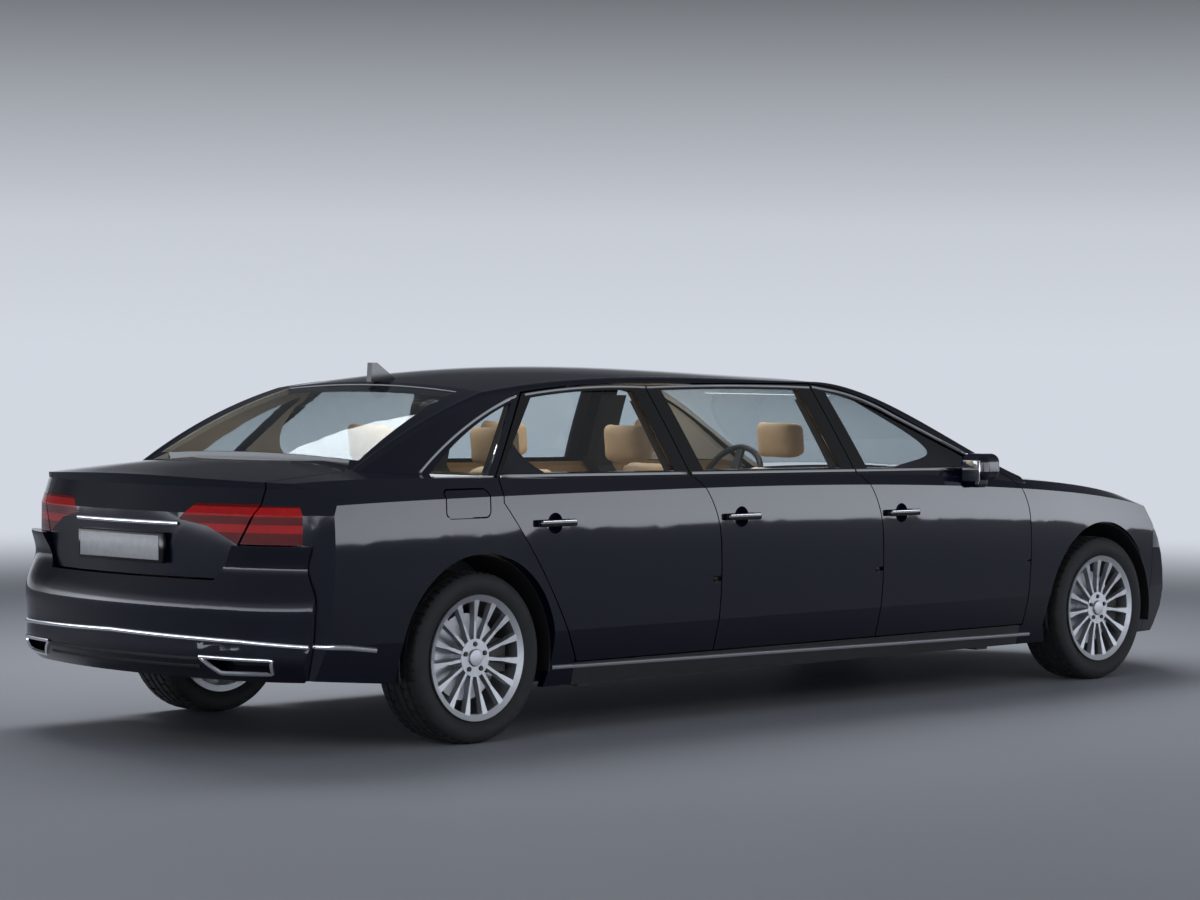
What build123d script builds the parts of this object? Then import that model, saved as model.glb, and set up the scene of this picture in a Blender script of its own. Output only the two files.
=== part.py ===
from build123d import *
import os
from math import sqrt

# Six-door stretched saloon. Millimetres, +X forwards, +Y to the left, +Z up.
# The origin is on the ground, in the middle of the overall length and width.

# Driving dimensions of the whole car
LENGTH = 6360
WHEELBASE = 4220
REAR_OVERHANG = 1155
HALF_WIDTH = 972
ROOF_Z = 1528
BELT_Z = 1062
TRACK = 1640

TAIL_X = -LENGTH / 2
NOSE_X = LENGTH / 2
REAR_AXLE_X = TAIL_X + REAR_OVERHANG
FRONT_AXLE_X = REAR_AXLE_X + WHEELBASE

# Wheels: 19-inch rims with 245 mm tyres
TYRE_RADIUS = 352
AXLE_Z = TYRE_RADIUS
TYRE_WIDTH = 245
TYRE_SHOULDER = 22
RIM_LIP_RADIUS = 258.6
RIM_SEAT_RADIUS = 241
RIM_WALL = 9
RIM_WIDTH = 232
SPOKES = 15
HUB_RADIUS = 78
LUG_COUNT = 5
LUG_CIRCLE = 112
LUG_HOLE_RADIUS = 11
DISC_RADIUS = 178
STUB_RADIUS = 34
STUB_CLEARANCE = 0.05
ARCH_RADIUS = 428

# Steering: the kingpin stands this far inside the wheel's middle plane
KINGPIN_INSET = 40
KINGPIN_RADIUS = 18
KNUCKLE_HALF_HEIGHT = 110

# Lower body: heights of its lines and how far each is tucked in from the widest line
SILL_Z = 205
SILL_TUCK = 70
CREASE_Z = 440
CREASE_TUCK = 14
SHOULDER_TUCK = 6

# Walls and gaps
DOOR_WALL = 120
FRAME_WALL = 45
PANEL_WALL = 60
LID_WALL = 30
BUMPER_WALL = 70
PANEL_GAP = 6.5
SEAT_GAP = 0.3
GLASS_INSET = 6
GLASS_THICKNESS = 5
PILLAR_CLEAR = 20
PILLAR_DEPTH = 60
PILLAR_WIDTH = 110
FLOOR_Z = 262
DOOR_BOTTOM_Z = 302

# Door cuts slope forwards by this much for each unit inwards, so that a door's
# rear edge swings clear of the pillar behind it
CUT_SLOPE = 0.30

# Places of the cuts ahead of the front doors and between the doors, and of the windscreen's base
FENDER_CUT_X = FRONT_AXLE_X - 605
PILLAR_CUTS_X = (FRONT_AXLE_X - 1710, REAR_AXLE_X + 1417)
COWL_X = FENDER_CUT_X + 50
SCREEN_BASE_X = FENDER_CUT_X + 10

# Doors. Cuts and windows are (x, z) points on the outer skin.
SKIN_CLEAR = 60
CABIN_HEADROOM = 400
WAIST_Z = 790
CANT_DROP = 66
REAR_DOOR_CUT = [(562, DOOR_BOTTOM_Z), (120, BELT_Z - 78), (134, BELT_Z + 14), (462, ROOF_Z - 98)]
DOOR_TOP_MIDDLES = {
    "front": (FENDER_CUT_X - 1030, ROOF_Z - 113),
    "middle": (PILLAR_CUTS_X[0] - 755, ROOF_Z - 64),
    "rear": (REAR_AXLE_X + 815, ROOF_Z - 70),
}
WINDOW_SILL_Z = BELT_Z + 20
WINDOWS = {
    # name: points from the front lower corner, then arc middles or None for straight edges
    "front": ([(FENDER_CUT_X - 260, WINDOW_SILL_Z - 14), (FENDER_CUT_X - 800, ROOF_Z - 226),
               (PILLAR_CUTS_X[0] - 110, ROOF_Z - 106), (PILLAR_CUTS_X[0] - 30, WINDOW_SILL_Z - 6)],
              [None, (FENDER_CUT_X - 1000, ROOF_Z - 147), None, None]),
    "middle": ([(PILLAR_CUTS_X[0] - 220, WINDOW_SILL_Z), (PILLAR_CUTS_X[0] - 290, ROOF_Z - 96),
                (PILLAR_CUTS_X[1] - 107, ROOF_Z - 92), (PILLAR_CUTS_X[1] - 32, WINDOW_SILL_Z + 6)],
               [None, (sum(PILLAR_CUTS_X) / 2 - 198.5, ROOF_Z - 88), None, None]),
    "rear": ([(PILLAR_CUTS_X[1] - 217, WINDOW_SILL_Z + 8), (PILLAR_CUTS_X[1] - 287, ROOF_Z - 92),
              (REAR_AXLE_X + 505, ROOF_Z - 120), (REAR_AXLE_X + 175, WINDOW_SILL_Z + 16)],
             [None, (REAR_AXLE_X + 815, ROOF_Z - 95), None, None]),
}

# Panel splits along the car
LID_FRONT_X = TAIL_X + 750
CORNER_X = TAIL_X + 285

# Door hinges: pin behind the door's front edge and inside its skin
HINGE_BACK = 20
HINGE_IN = 5
HINGE_PIN_RADIUS = 2.5
HINGE_PIN_CLEARANCE = 0.05
HINGE_Z = (620, 750)
HINGE_LEAF = (16, 10)
HINGE_POCKET = 6

# Windows in the roof node, in plan: (x, half-width)
SCREEN_PLAN = [(SCREEN_BASE_X - 1170, 590), (SCREEN_BASE_X - 600, 705), (SCREEN_BASE_X - 44, 800)]
REAR_WINDOW_PLAN = [(TAIL_X + 1390, 545), (LID_FRONT_X + 9, 643)]
QUARTER_WINDOW = ([(REAR_AXLE_X + 107, BELT_Z + 32), (REAR_AXLE_X + 385, ROOF_Z - 140),
                   (REAR_AXLE_X - 200, BELT_Z + 32)],
                  [None, (REAR_AXLE_X + 35, BELT_Z + 182), None])

# Boot lid, lamps and rear bumper, seen from behind: (half-width, z)
LID_PLAN = [(LID_FRONT_X, 590), (LID_FRONT_X - 90, 675), (LID_FRONT_X - 190, 700), (TAIL_X - 60, 697)]
LID_REAR = [(697, 1400), (697, 997), (612, 835), (523, 700)]
LID_LAMP = [(329, 929), (404, 995), (697, 998), (612, 838), (474, 906)]
TAIL_LAMP_Z = (838, 990)
LAMP_DEPTH = 20
BUMPER_BOTTOM_Z = 300
QUARTER_BOTTOM_Z = (308, 235)
EXHAUST = [(508, 387), (797, 384), (788, 342), (578, 336)]
EXHAUST_DEPTH = 45

# Front end: bonnet in plan (x, half-width), grille and headlamps seen from ahead (half-width, z)
BONNET_PLAN = [(COWL_X, 835), (FRONT_AXLE_X, 800), (NOSE_X - 480, 705), (NOSE_X + 40, 560)]
BONNET_LIP_Z = 750
GRILLE_HALF_WIDTH = 440
GRILLE_Z = (380, 726)
GRILLE_FRAME = 26
GRILLE_BARS = 6
GRILLE_BAR = 12
HEADLAMP = [(520, 628), (545, 732), (1000, 738), (1000, 650), (800, 615)]
NOSE_CUT_X = NOSE_X - 520

# Fuel flap on the right rear quarter, on the skin
FLAP_X = (REAR_AXLE_X - 201, REAR_AXLE_X + 35)
FLAP_Z = (930, 1040)
FLAP_THICKNESS = 10
FLAP_POCKET_DEPTH = 45
FILLER_RADIUS = 36

# Cabin, floor and running gear
FLOOR_HALF_WIDTH = 720
REAR_FLOOR_Z = (470, 500)
JACK_PADS_X = (FRONT_AXLE_X - 815, REAR_AXLE_X + 705)
JACK_PAD_Y = 800
JACK_PAD = 80
JACK_PAD_DROP = 18
KICK_UP_X = REAR_AXLE_X + 425
FIREWALL_X = (FRONT_AXLE_X - 480, FRONT_AXLE_X - 450)
COWL_HALF_WIDTH = 775
WELL_HALF_WIDTH = 620
SEAT_WIDTH = 530
SEAT_Y = 400
SEAT_ROWS = {
    "front_seats": FENDER_CUT_X - 1210,
    "middle_seats": PILLAR_CUTS_X[1] - 32,
    "rear_seats": REAR_AXLE_X + 565,
}
SEAT_PROFILE = [(620, FLOOR_Z), (645, 470), (620, 505), (270, 462), (95, 1080), (-45, 1085), (60, 480),
                (120, FLOOR_Z)]
HEADREST = (110, 270, 190)
HEADREST_Z = 1195
HEADREST_POST_RADIUS = 8
DASH_DEPTH = 535
DASH_PROFILE = [
    # distance ahead of the dashboard's rear edge, z
    (70, 600), (20, 640), (0, 870), (70, 938), (240, 930), (DASH_DEPTH, 850), (DASH_DEPTH, 600),
]
DASH_HALF_WIDTH = 715
WHEEL_RIM = (185, 15)
WHEEL_AT = (FIREWALL_X[0] - 775, SEAT_Y, 960)
WHEEL_TILT = 25
COLUMN_RADIUS = 28
ENGINE = (800, 600, 540)
RAIL_Y = (360, 440)
RAIL_Z = (400, 500)
CROSSMEMBER_Z = (215, 300)
ARM_HALF_WIDTH = 45
ARM_HEIGHT = 28
CALLIPER_X = (105, 205)
CALLIPER_HALF_HEIGHT = 70
DISC_Y = (5, 35)
DISC_GAP = 6

# Door mirrors and handles
MIRROR_X = (FENDER_CUT_X - 500, FENDER_CUT_X - 360)
MIRROR_Y = (915, 1075)
MIRROR_Z = (1010, 1135)
MIRROR_FILLET = 42
STALK_X = (FENDER_CUT_X - 475, FENDER_CUT_X - 390)
STALK_Z = (975, 1040)
HANDLES = {
    "front": (PILLAR_CUTS_X[0] + 131, 872),
    "middle": (PILLAR_CUTS_X[1] + 131, 886),
    "rear": (REAR_AXLE_X + 404, 893),
}
HANDLE_LENGTH = 205
HANDLE_HEIGHT = 26
HANDLE_OUT = (10, 24)
CUP_RADIUS = 70
CUP_DEPTH = 18

# Antenna fin: (distance from the tail, height over the roof's top)
FIN_PROFILE = [(1540, -60), (1380, -60), (1385, 22), (1415, 22)]
FIN_THICKNESS = 30

# Lower body lines. Each runs level at the middle door and bends away towards the two ends
# by powers of the share of the way there. Columns: value at the middle, then the factors
# of the square, fourth and eighth power towards the tail and towards the nose.
BODY_MIDDLE_X = REAR_AXLE_X + 1425
BODY_REACH = 20
BODY_SECTIONS = 20
BODY_LINES = {
    # name: middle, tail 2, tail 4, tail 8, nose 2, nose 4, nose 8
    "tuck": (0, 8, 0, 78, 14, 0, 170),
    "shoulder": (BELT_Z - 46, -20, 0, -26, -164, -30, -175),
    "edge_in": (46, 0, 150, 0, 0, 170, 0),
    "edge": (BELT_Z, 103, -73, -50, -165, -30, -195),
    "crown": (BELT_Z + 20, 486, -701, 227, -100, -70, -215),
}

# Greenhouse stations in three runs: rear window, roof and windscreen.
# Columns: x, inset of the side at its base, inset and drop of the roof rail, drop of the crown.
GLASS_BASE_Z = 980
REAR_RUN = [
    (TAIL_X + 620, 172, 250, 474, 446),
    (TAIL_X + 1030, 76, 242, 268, 203),
    (TAIL_X + 1430, 36, 268, 128, 60),
]
ROOF_RUN = [
    REAR_RUN[-1],
    (TAIL_X + 2030, 26, 280, 76, 0),
    (TAIL_X + 2780, 24, 282, 73, 0),
    (SCREEN_BASE_X - 1250, 26, 275, 92, 32),
]
SCREEN_RUN = [
    ROOF_RUN[-1],
    (SCREEN_BASE_X - 880, 30, 246, 158, 104),
    (SCREEN_BASE_X - 540, 36, 170, 302, 232),
    (SCREEN_BASE_X, 50, 62, 536, 492),
]
RAIL_RUN_IN = 62
RAIL_RISE = 34
RAIL_BULGE = 9
SIDE_BULGE = 7

# End forms, as plan outlines at several heights. Columns: z, set-back from the end.
TAIL_ROWS = [(180, 52), (955, 60), (1058, 98), (1200, 84)]
BUMPER_ROWS = [(180, 120), (330, 38), (480, 10), (560, 2), (635, 11), (700, 42), (770, 52), (860, 54)]
NOSE_ROWS = [(180, 110), (240, 62), (330, 15), (420, 0), (520, 8), (600, 24), (680, 55), (760, 105),
             (1150, 430)]

# Plan outline of each end. Columns: corner set-back and half-width, then those of its end.
TAIL_PLAN = (105, 640, 390, 995)
BUMPER_PLAN = (90, 640, 350, 995)
NOSE_PLAN = (170, 620, 540, 995)


def face_of(edges):
    """A flat face inside a closed loop of edges."""
    return Face(Wire(edges))


def arc(a, b, c):
    return ThreePointArc(a, b, c)


def closed_arc_loop(points, middles):
    """Edges of a closed loop; middles gives the arc point of each edge, or None for a line."""
    edges = []
    for i, (start, middle) in enumerate(zip(points, middles)):
        end = points[(i + 1) % len(points)]
        edges.append(Line(start, end) if middle is None else arc(start, middle, end))
    return edges


def body_line(name, x):
    """Value of one of the lower body's lines at a place along the car."""
    middle, *factors = BODY_LINES[name]
    end = TAIL_X - BODY_REACH if x < BODY_MIDDLE_X else NOSE_X + BODY_REACH
    share = (x - BODY_MIDDLE_X) / (end - BODY_MIDDLE_X)
    factors = factors[:3] if x < BODY_MIDDLE_X else factors[3:]
    return middle + sum(f * share ** power for f, power in zip(factors, (2, 4, 8)))


def body_section(x, inset, drop, bottom):
    """Cross-section of the lower body: floor, sill, side, shoulder and crowned deck."""
    wide = HALF_WIDTH - body_line("tuck", x) - inset
    z_shoulder = body_line("shoulder", x) - drop
    z_waist = (CREASE_Z + z_shoulder) / 2
    half = [
        (wide - SILL_TUCK, bottom),
        (wide - CREASE_TUCK, CREASE_Z),
        (wide - SHOULDER_TUCK, z_shoulder),
        (wide - body_line("edge_in", x), body_line("edge", x) - drop),
    ]
    right = [Vector(x, -y, z) for y, z in half]
    left = [Vector(x, y, z) for y, z in reversed(half)]
    middles = [None, Vector(x, -wide, z_waist), None, Vector(x, 0, body_line("crown", x) - drop),
               None, Vector(x, wide, z_waist), None, None]
    return face_of(closed_arc_loop(right + left, middles))


def body_loft(inset=0, drop=0, bottom=SILL_Z):
    first, last = TAIL_X - BODY_REACH, NOSE_X + BODY_REACH
    step = (last - first) / (BODY_SECTIONS - 1)
    return loft([body_section(first + i * step, inset, drop, bottom) for i in range(BODY_SECTIONS)])


def glass_section(station, inset):
    """Cross-section of the greenhouse: sides leaning in, rounded rails and a crowned top."""
    x, base_in, rail_in, rail_drop, crown_drop = station
    base_y = HALF_WIDTH - base_in - inset
    rail_y = HALF_WIDTH - rail_in - inset
    rail_z = ROOF_Z - rail_drop - inset * 0.5
    crown_z = ROOF_Z - crown_drop - inset * 0.8
    rail_rise = min(RAIL_RISE, (crown_z - rail_z) * 0.6)
    top_y = rail_y - RAIL_RUN_IN
    base_z = GLASS_BASE_Z - inset
    half = [(base_y, base_z), (rail_y, rail_z), (top_y, rail_z + rail_rise)]
    right = [Vector(x, -y, z) for y, z in half]
    left = [Vector(x, y, z) for y, z in reversed(half)]
    side = ((base_y + rail_y) / 2 + SIDE_BULGE, (base_z + rail_z) / 2)
    rail = (rail_y - RAIL_RUN_IN / 2 + RAIL_BULGE, rail_z + rail_rise / 2 + RAIL_BULGE)
    middles = [Vector(x, -side[0], side[1]), Vector(x, -rail[0], rail[1]), Vector(x, 0, crown_z),
               Vector(x, rail[0], rail[1]), Vector(x, side[0], side[1]), None]
    return face_of(closed_arc_loop(right + left, middles))


def greenhouse(inset=0):
    runs = [loft([glass_section(s, inset) for s in run]) for run in (REAR_RUN, ROOF_RUN, SCREEN_RUN)]
    return runs[0] + runs[1] + runs[2]


def end_form(end_x, inwards, plan, rows, inset=0, ruled=True):
    """Solid whose one end is rounded in plan, with that end's reach changing with height."""
    corner_back, corner_y, side_back, side_y = plan
    far = end_x + inwards * LENGTH * 1.1
    sections = []
    for z, back in rows:
        tip = end_x + inwards * (back + inset)
        nose = arc((tip + inwards * corner_back, -corner_y, z), (tip, 0, z),
                   (tip + inwards * corner_back, corner_y, z))
        left = TangentArc((tip + inwards * corner_back, corner_y, z),
                          (tip + inwards * side_back, side_y, z), tangent=nose % 1)
        bend = left @ 0.5
        right = arc((tip + inwards * side_back, -side_y, z), (bend.X, -bend.Y, z),
                    (tip + inwards * corner_back, -corner_y, z))
        wall_left = Line((tip + inwards * side_back, side_y, z), (far, side_y, z))
        back_wall = Line((far, side_y, z), (far, -side_y, z))
        wall_right = Line((far, -side_y, z), (tip + inwards * side_back, -side_y, z))
        sections.append(face_of([nose, left, wall_left, back_wall, wall_right, right]))
    return loft(sections, ruled=ruled)


def box(x0, x1, y0, y1, z0, z1):
    return Pos((x0 + x1) / 2, (y0 + y1) / 2, (z0 + z1) / 2) * Box(abs(x1 - x0), abs(y1 - y0), abs(z1 - z0))


def skin_half_width(z):
    """Half-width of the outer skin beside the doors, straight up to the shoulder, then leaning in."""
    base_y, rail_y = HALF_WIDTH - ROOF_RUN[2][1], HALF_WIDTH - ROOF_RUN[2][2]
    rail_z = ROOF_Z - ROOF_RUN[2][3]
    lean = (base_y - rail_y) / (rail_z - GLASS_BASE_Z)
    return min(HALF_WIDTH, base_y - lean * (z - GLASS_BASE_Z))


def side_prism(points, middles, reach=HALF_WIDTH - 500):
    """Slanted prism through the right side, from an outline of (x, z) points on the skin."""
    start_y = HALF_WIDTH + SKIN_CLEAR

    def on_plane(point):
        x, z = point
        return Vector(x - CUT_SLOPE * (start_y - skin_half_width(z)), -start_y, z)

    outline = face_of(closed_arc_loop([on_plane(p) for p in points],
                                      [m and on_plane(m) for m in middles]))
    depth = reach + SKIN_CLEAR
    return Solid.extrude(outline, Vector(CUT_SLOPE * depth, depth, 0))


def plan_prism(points, low=0, high=2000):
    outline = Polyline(*[(x, y, low) for x, y in points], close=True)
    return Solid.extrude(face_of(outline.edges()), Vector(0, 0, high - low))


def rear_view_prism(points, x0, x1):
    outline = Polyline(*[(x0, y, z) for y, z in points], close=True)
    return Solid.extrude(face_of(outline.edges()), Vector(x1 - x0, 0, 0))


def cylinder_y(x, z, radius, y0, y1):
    return Pos(x, (y0 + y1) / 2, z) * Rot(X=90) * Cylinder(radius, abs(y1 - y0))


def both_sides(points):
    """Outline of (x, half-width) points, closed by its mirror image."""
    return [(x, -y) for x, y in points] + [(x, y) for x, y in reversed(points)]


# Door outlines on the skin, as (x, z) points

def pillar_edge(x, shift):
    """Cut between two doors, from the bottom up: points and the middles of the arcs between them."""
    points = [(x - 13 + shift, DOOR_BOTTOM_Z), (x + shift, WAIST_Z),
              (x - 122 + shift, BELT_Z), (x - 200 + shift, ROOF_Z - CANT_DROP)]
    middles = [(x + 6 + shift, (DOOR_BOTTOM_Z + WAIST_Z) / 2), (x - 58 + shift, BELT_Z - 88), None]
    return points, middles


def tail_edge(shift):
    """Rear cut of the rear door, bending forwards over the wheel arch."""
    points = [(REAR_AXLE_X + dx + shift, z) for dx, z in REAR_DOOR_CUT]
    return points, [(REAR_AXLE_X + 372 + shift, 640), None, None]


def screen_edge(shift):
    """Front cut of the front door, up the wing and back along the windscreen pillar."""
    x = FENDER_CUT_X
    points = [(x - 13 + shift, DOOR_BOTTOM_Z), (x + shift, WAIST_Z), (x - 105 + shift, BELT_Z - 54),
              (x - 830 + shift, ROOF_Z - 181)]
    return points, [(x + 6 + shift, (DOOR_BOTTOM_Z + WAIST_Z) / 2), (x - 40 + shift, BELT_Z - 140), None]


def door_prism(front, rear, top_middle, grow):
    """Prism of a door between its front and rear cuts, grown or shrunk all round by half a gap."""
    (front_points, front_middles), (rear_points, rear_middles) = front, rear
    lift = [(0, -grow)] + [(0, 0)] * (len(front_points) - 2) + [(0, grow)]
    front_points = [(x, z + dz) for (x, z), (_, dz) in zip(front_points, lift)]
    lift = [(0, -grow)] + [(0, 0)] * (len(rear_points) - 2) + [(0, grow)]
    rear_points = [(x, z + dz) for (x, z), (_, dz) in zip(rear_points, lift)]
    points = front_points + rear_points[::-1]
    top = (top_middle[0], top_middle[1] + grow)
    return side_prism(points, front_middles + [top] + rear_middles[::-1] + [None])


def shrunk(points, middles, gap):
    """Outline drawn in towards its centre by a small gap."""
    cx = sum(x for x, _ in points) / len(points)
    cz = sum(z for _, z in points) / len(points)

    def inwards(point):
        x, z = point
        length = sqrt((x - cx) ** 2 + (z - cz) ** 2)
        return (x - (x - cx) * 1.5 * gap / length, z - (z - cz) * 1.5 * gap / length)

    return [inwards(p) for p in points], [m and inwards(m) for m in middles]


# Solids that every panel is cut from
skin = body_loft()
tail_form = end_form(TAIL_X, 1, TAIL_PLAN, TAIL_ROWS)
nose_form = end_form(NOSE_X, -1, NOSE_PLAN, NOSE_ROWS)
bumper_form = end_form(TAIL_X, 1, BUMPER_PLAN, BUMPER_ROWS, ruled=False)
body = skin & tail_form & nose_form
cabin = body_loft(DOOR_WALL, -CABIN_HEADROOM, FLOOR_Z)
nose_inner = end_form(NOSE_X, -1, NOSE_PLAN, NOSE_ROWS, PANEL_WALL)
tail_inner = end_form(TAIL_X, 1, TAIL_PLAN, TAIL_ROWS, PANEL_WALL)
panel_inner = body_loft(PANEL_WALL, PANEL_WALL, 0) & tail_inner & nose_inner
lid_under = body_loft(LID_WALL, LID_WALL, 0)
lid_seat = body_loft(LID_WALL + SEAT_GAP, LID_WALL + SEAT_GAP, 0)
glasshouse = greenhouse()
glass_inner = greenhouse(FRAME_WALL)
frame_shell = glasshouse - glass_inner
pane_shell = greenhouse(GLASS_INSET) - greenhouse(GLASS_INSET + GLASS_THICKNESS)
right_half = box(-LENGTH, LENGTH, -2 * HALF_WIDTH, 0, 0, 2 * ROOF_Z)
side_wall = (skin & right_half) - cabin
frame_right = frame_shell & right_half
pane_right = pane_shell & right_half
panel_shell = body - panel_inner
panel_right = panel_shell & right_half
half_gap = PANEL_GAP / 2
arches = [cylinder_y(x, AXLE_Z, ARCH_RADIUS, -HALF_WIDTH - SKIN_CLEAR, -WELL_HALF_WIDTH)
          for x in (REAR_AXLE_X, FRONT_AXLE_X)]


def inboard_of_frames(depth):
    """Everything further in than the door frames, as a leaning wedge over the cabin."""
    low, high = BELT_Z, ROOF_Z + 100
    inner_wall = HALF_WIDTH - DOOR_WALL - depth
    points = [(inner_wall, GLASS_BASE_Z - FRAME_WALL), (skin_half_width(low) - depth - FRAME_WALL, low),
              (skin_half_width(high) - depth - FRAME_WALL, high), (-HALF_WIDTH, high),
              (-HALF_WIDTH, GLASS_BASE_Z - FRAME_WALL)]
    return rear_view_prism([(-y, z) for y, z in points], -LENGTH / 2, LENGTH / 2)


nodes = {}


def mirrored(solid):
    return mirror(solid, about=Plane.XZ)


def add_pair(name, solid):
    """A node on the right side and its mirror image on the left."""
    nodes[name + "_right"] = solid
    nodes[name + "_left"] = mirrored(solid)


def leaf_prism(pin, out, behind, ahead, high):
    """Plan outline of a hinge leaf, from the pin in to the post, along the slope of the door's cut."""
    x, y, z = pin
    reach = DOOR_WALL + PILLAR_CLEAR - HINGE_IN + PILLAR_DEPTH / 2
    lean = CUT_SLOPE * reach
    points = [(x - behind, y - out), (x + ahead, y - out), (x + ahead + lean, y + reach),
              (x - behind + lean, y + reach)]
    return plan_prism(points, z - high / 2, z + high / 2)


def handle(x, z):
    """Bar handle standing off the skin on two feet, and the cup that is cut behind it."""
    y = -HALF_WIDTH
    near, far = HANDLE_OUT
    bar = box(x - HANDLE_LENGTH / 2, x + HANDLE_LENGTH / 2, y - far, y - near, z - HANDLE_HEIGHT / 2,
              z + HANDLE_HEIGHT / 2)
    bar = fillet(bar.edges(), (far - near) * 0.4)
    for side in (-1, 1):
        foot_x = x + side * (HANDLE_LENGTH / 2 - 18)
        bar += box(foot_x - 10, foot_x + 10, y - far + 5, y + 20, z - 8, z + 8)
    cup = Pos(x, y - CUP_RADIUS + CUP_DEPTH, z) * Sphere(CUP_RADIUS)
    return bar, cup


# Doors, their glass and mirrors, and the hinge leaves that the posts hold them by
cuts = {
    "front": (screen_edge, lambda s: pillar_edge(PILLAR_CUTS_X[0], s), FENDER_CUT_X),
    "middle": (lambda s: pillar_edge(PILLAR_CUTS_X[0], s), lambda s: pillar_edge(PILLAR_CUTS_X[1], s),
               PILLAR_CUTS_X[0]),
    "rear": (lambda s: pillar_edge(PILLAR_CUTS_X[1], s), tail_edge, PILLAR_CUTS_X[1]),
}
openings = {}
leaves = []
leaf_width, leaf_height = HINGE_LEAF
door_limit = inboard_of_frames(15)
hole_limit = inboard_of_frames(15 + PANEL_GAP)
for name, (front_edge, rear_edge, cut_x) in cuts.items():
    top_middle = DOOR_TOP_MIDDLES[name]
    outline = door_prism(front_edge(-half_gap), rear_edge(half_gap), top_middle, -half_gap) - door_limit
    openings[name] = door_prism(front_edge(half_gap), rear_edge(-half_gap), top_middle, half_gap) - hole_limit
    points, middles = WINDOWS[name]
    door = (side_wall & outline) + (frame_right & outline) - side_prism(points, middles)
    hinge_x = cut_x - half_gap - HINGE_BACK
    hinge_y = body_line("tuck", hinge_x) + HINGE_IN - HALF_WIDTH
    for z in HINGE_Z:
        pin = (hinge_x, hinge_y, z)
        pin_length = leaf_height + 2 * HINGE_POCKET + 32
        leaves.append(leaf_prism(pin, 0, leaf_width, 0, leaf_height))
        leaves.append(Pos(*pin) * Cylinder(HINGE_PIN_RADIUS, pin_length))
        door -= leaf_prism(pin, HINGE_PIN_RADIUS, leaf_width + HINGE_POCKET, 2 * HINGE_BACK,
                           leaf_height + 2 * HINGE_POCKET)
        door -= Pos(*pin) * Cylinder(HINGE_PIN_RADIUS + HINGE_PIN_CLEARANCE, pin_length + 2)
    bar, cup = handle(*HANDLES[name])
    add_pair(name + "_door", door - cup + bar)
    add_pair(name + "_door_glass", pane_right & side_prism(*shrunk(points, middles, SEAT_GAP)))

housing = fillet(box(*MIRROR_X, -MIRROR_Y[1], -MIRROR_Y[0], *MIRROR_Z).edges(), MIRROR_FILLET)
stalk = fillet(box(*STALK_X, -MIRROR_Y[1] + 60, -skin_half_width(STALK_Z[1]) + 40, *STALK_Z).edges(), 16)
add_pair("mirror", housing + stalk - skin - glasshouse)

# Roof with its pillars, and the fixed glass
lid_plan = plan_prism(both_sides(LID_PLAN))
lid_front_gap = (LID_FRONT_X + PANEL_GAP, LID_PLAN[0][1])
lid_plan_hole = plan_prism(both_sides([lid_front_gap] + [(x, y + PANEL_GAP) for x, y in LID_PLAN]))
quarter_window = side_prism(*QUARTER_WINDOW)
roof = frame_shell - body - lid_plan_hole
roof -= plan_prism(both_sides(SCREEN_PLAN))
roof -= plan_prism(both_sides(REAR_WINDOW_PLAN))
roof -= box(SCREEN_PLAN[-1][0], SCREEN_BASE_X, -SCREEN_PLAN[-1][1], SCREEN_PLAN[-1][1], 0, ROOF_Z)
for hole in list(openings.values()) + [quarter_window]:
    roof = roof - hole - mirrored(hole)
nodes["roof"] = roof
for name, outline in (("windscreen", SCREEN_PLAN), ("rear_window", REAR_WINDOW_PLAN)):
    ends = [outline[0][0], outline[-1][0]]
    drawn_in = [(min(max(x, min(ends) + SEAT_GAP), max(ends) - SEAT_GAP), y - SEAT_GAP) for x, y in outline]
    nodes[name] = (pane_shell & plan_prism(both_sides(drawn_in))) - body
add_pair("quarter_glass", (pane_right & side_prism(*shrunk(*QUARTER_WINDOW, SEAT_GAP))) - body)

# Sills with the posts between the doors
sill_top = DOOR_BOTTOM_Z - half_gap
sill_ends = (REAR_AXLE_X + REAR_DOOR_CUT[0][0] + 3, FENDER_CUT_X - 16)
sill = side_wall & box(*sill_ends, -HALF_WIDTH, -FLOOR_HALF_WIDTH, 0, sill_top)
sill += side_wall & box(0, FIREWALL_X[0], -HALF_WIDTH + DOOR_WALL, -FLOOR_HALF_WIDTH, 0, FLOOR_Z)
low_layer = body_loft(DOOR_WALL + PILLAR_CLEAR, -CABIN_HEADROOM, FLOOR_Z - 10)
low_layer -= body_loft(DOOR_WALL + PILLAR_CLEAR + PILLAR_DEPTH, -CABIN_HEADROOM, 0)
high_layer = greenhouse(FRAME_WALL + PILLAR_CLEAR)
high_layer -= greenhouse(FRAME_WALL + PILLAR_CLEAR + PILLAR_DEPTH * 0.6)
posts = [(FENDER_CUT_X, PILLAR_WIDTH * 0.65, BELT_Z - 165)]
posts += [(cut_x, PILLAR_WIDTH, ROOF_Z) for cut_x in PILLAR_CUTS_X]
for cut_x, width, top in posts:
    ahead, ahead_middles = pillar_edge(cut_x, width / 2)
    behind, behind_middles = pillar_edge(cut_x, -width / 2)
    foot = [(behind[0][0], FLOOR_Z - 10), (ahead[0][0], FLOOR_Z - 10)]
    band = side_prism(ahead + behind[::-1] + foot,
                      ahead_middles + [None] + behind_middles[::-1] + [None, None, None])
    band &= box(-LENGTH, LENGTH, -HALF_WIDTH, 0, 0, top)
    sill += band & low_layer & box(-LENGTH, LENGTH, -HALF_WIDTH, 0, FLOOR_Z - 10, BELT_Z + 20)
    if top > BELT_Z:
        sill += band & high_layer & box(-LENGTH, LENGTH, -HALF_WIDTH, 0, BELT_Z - 20, ROOF_Z - CANT_DROP - 75)
for leaf in leaves:
    sill += leaf
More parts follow.
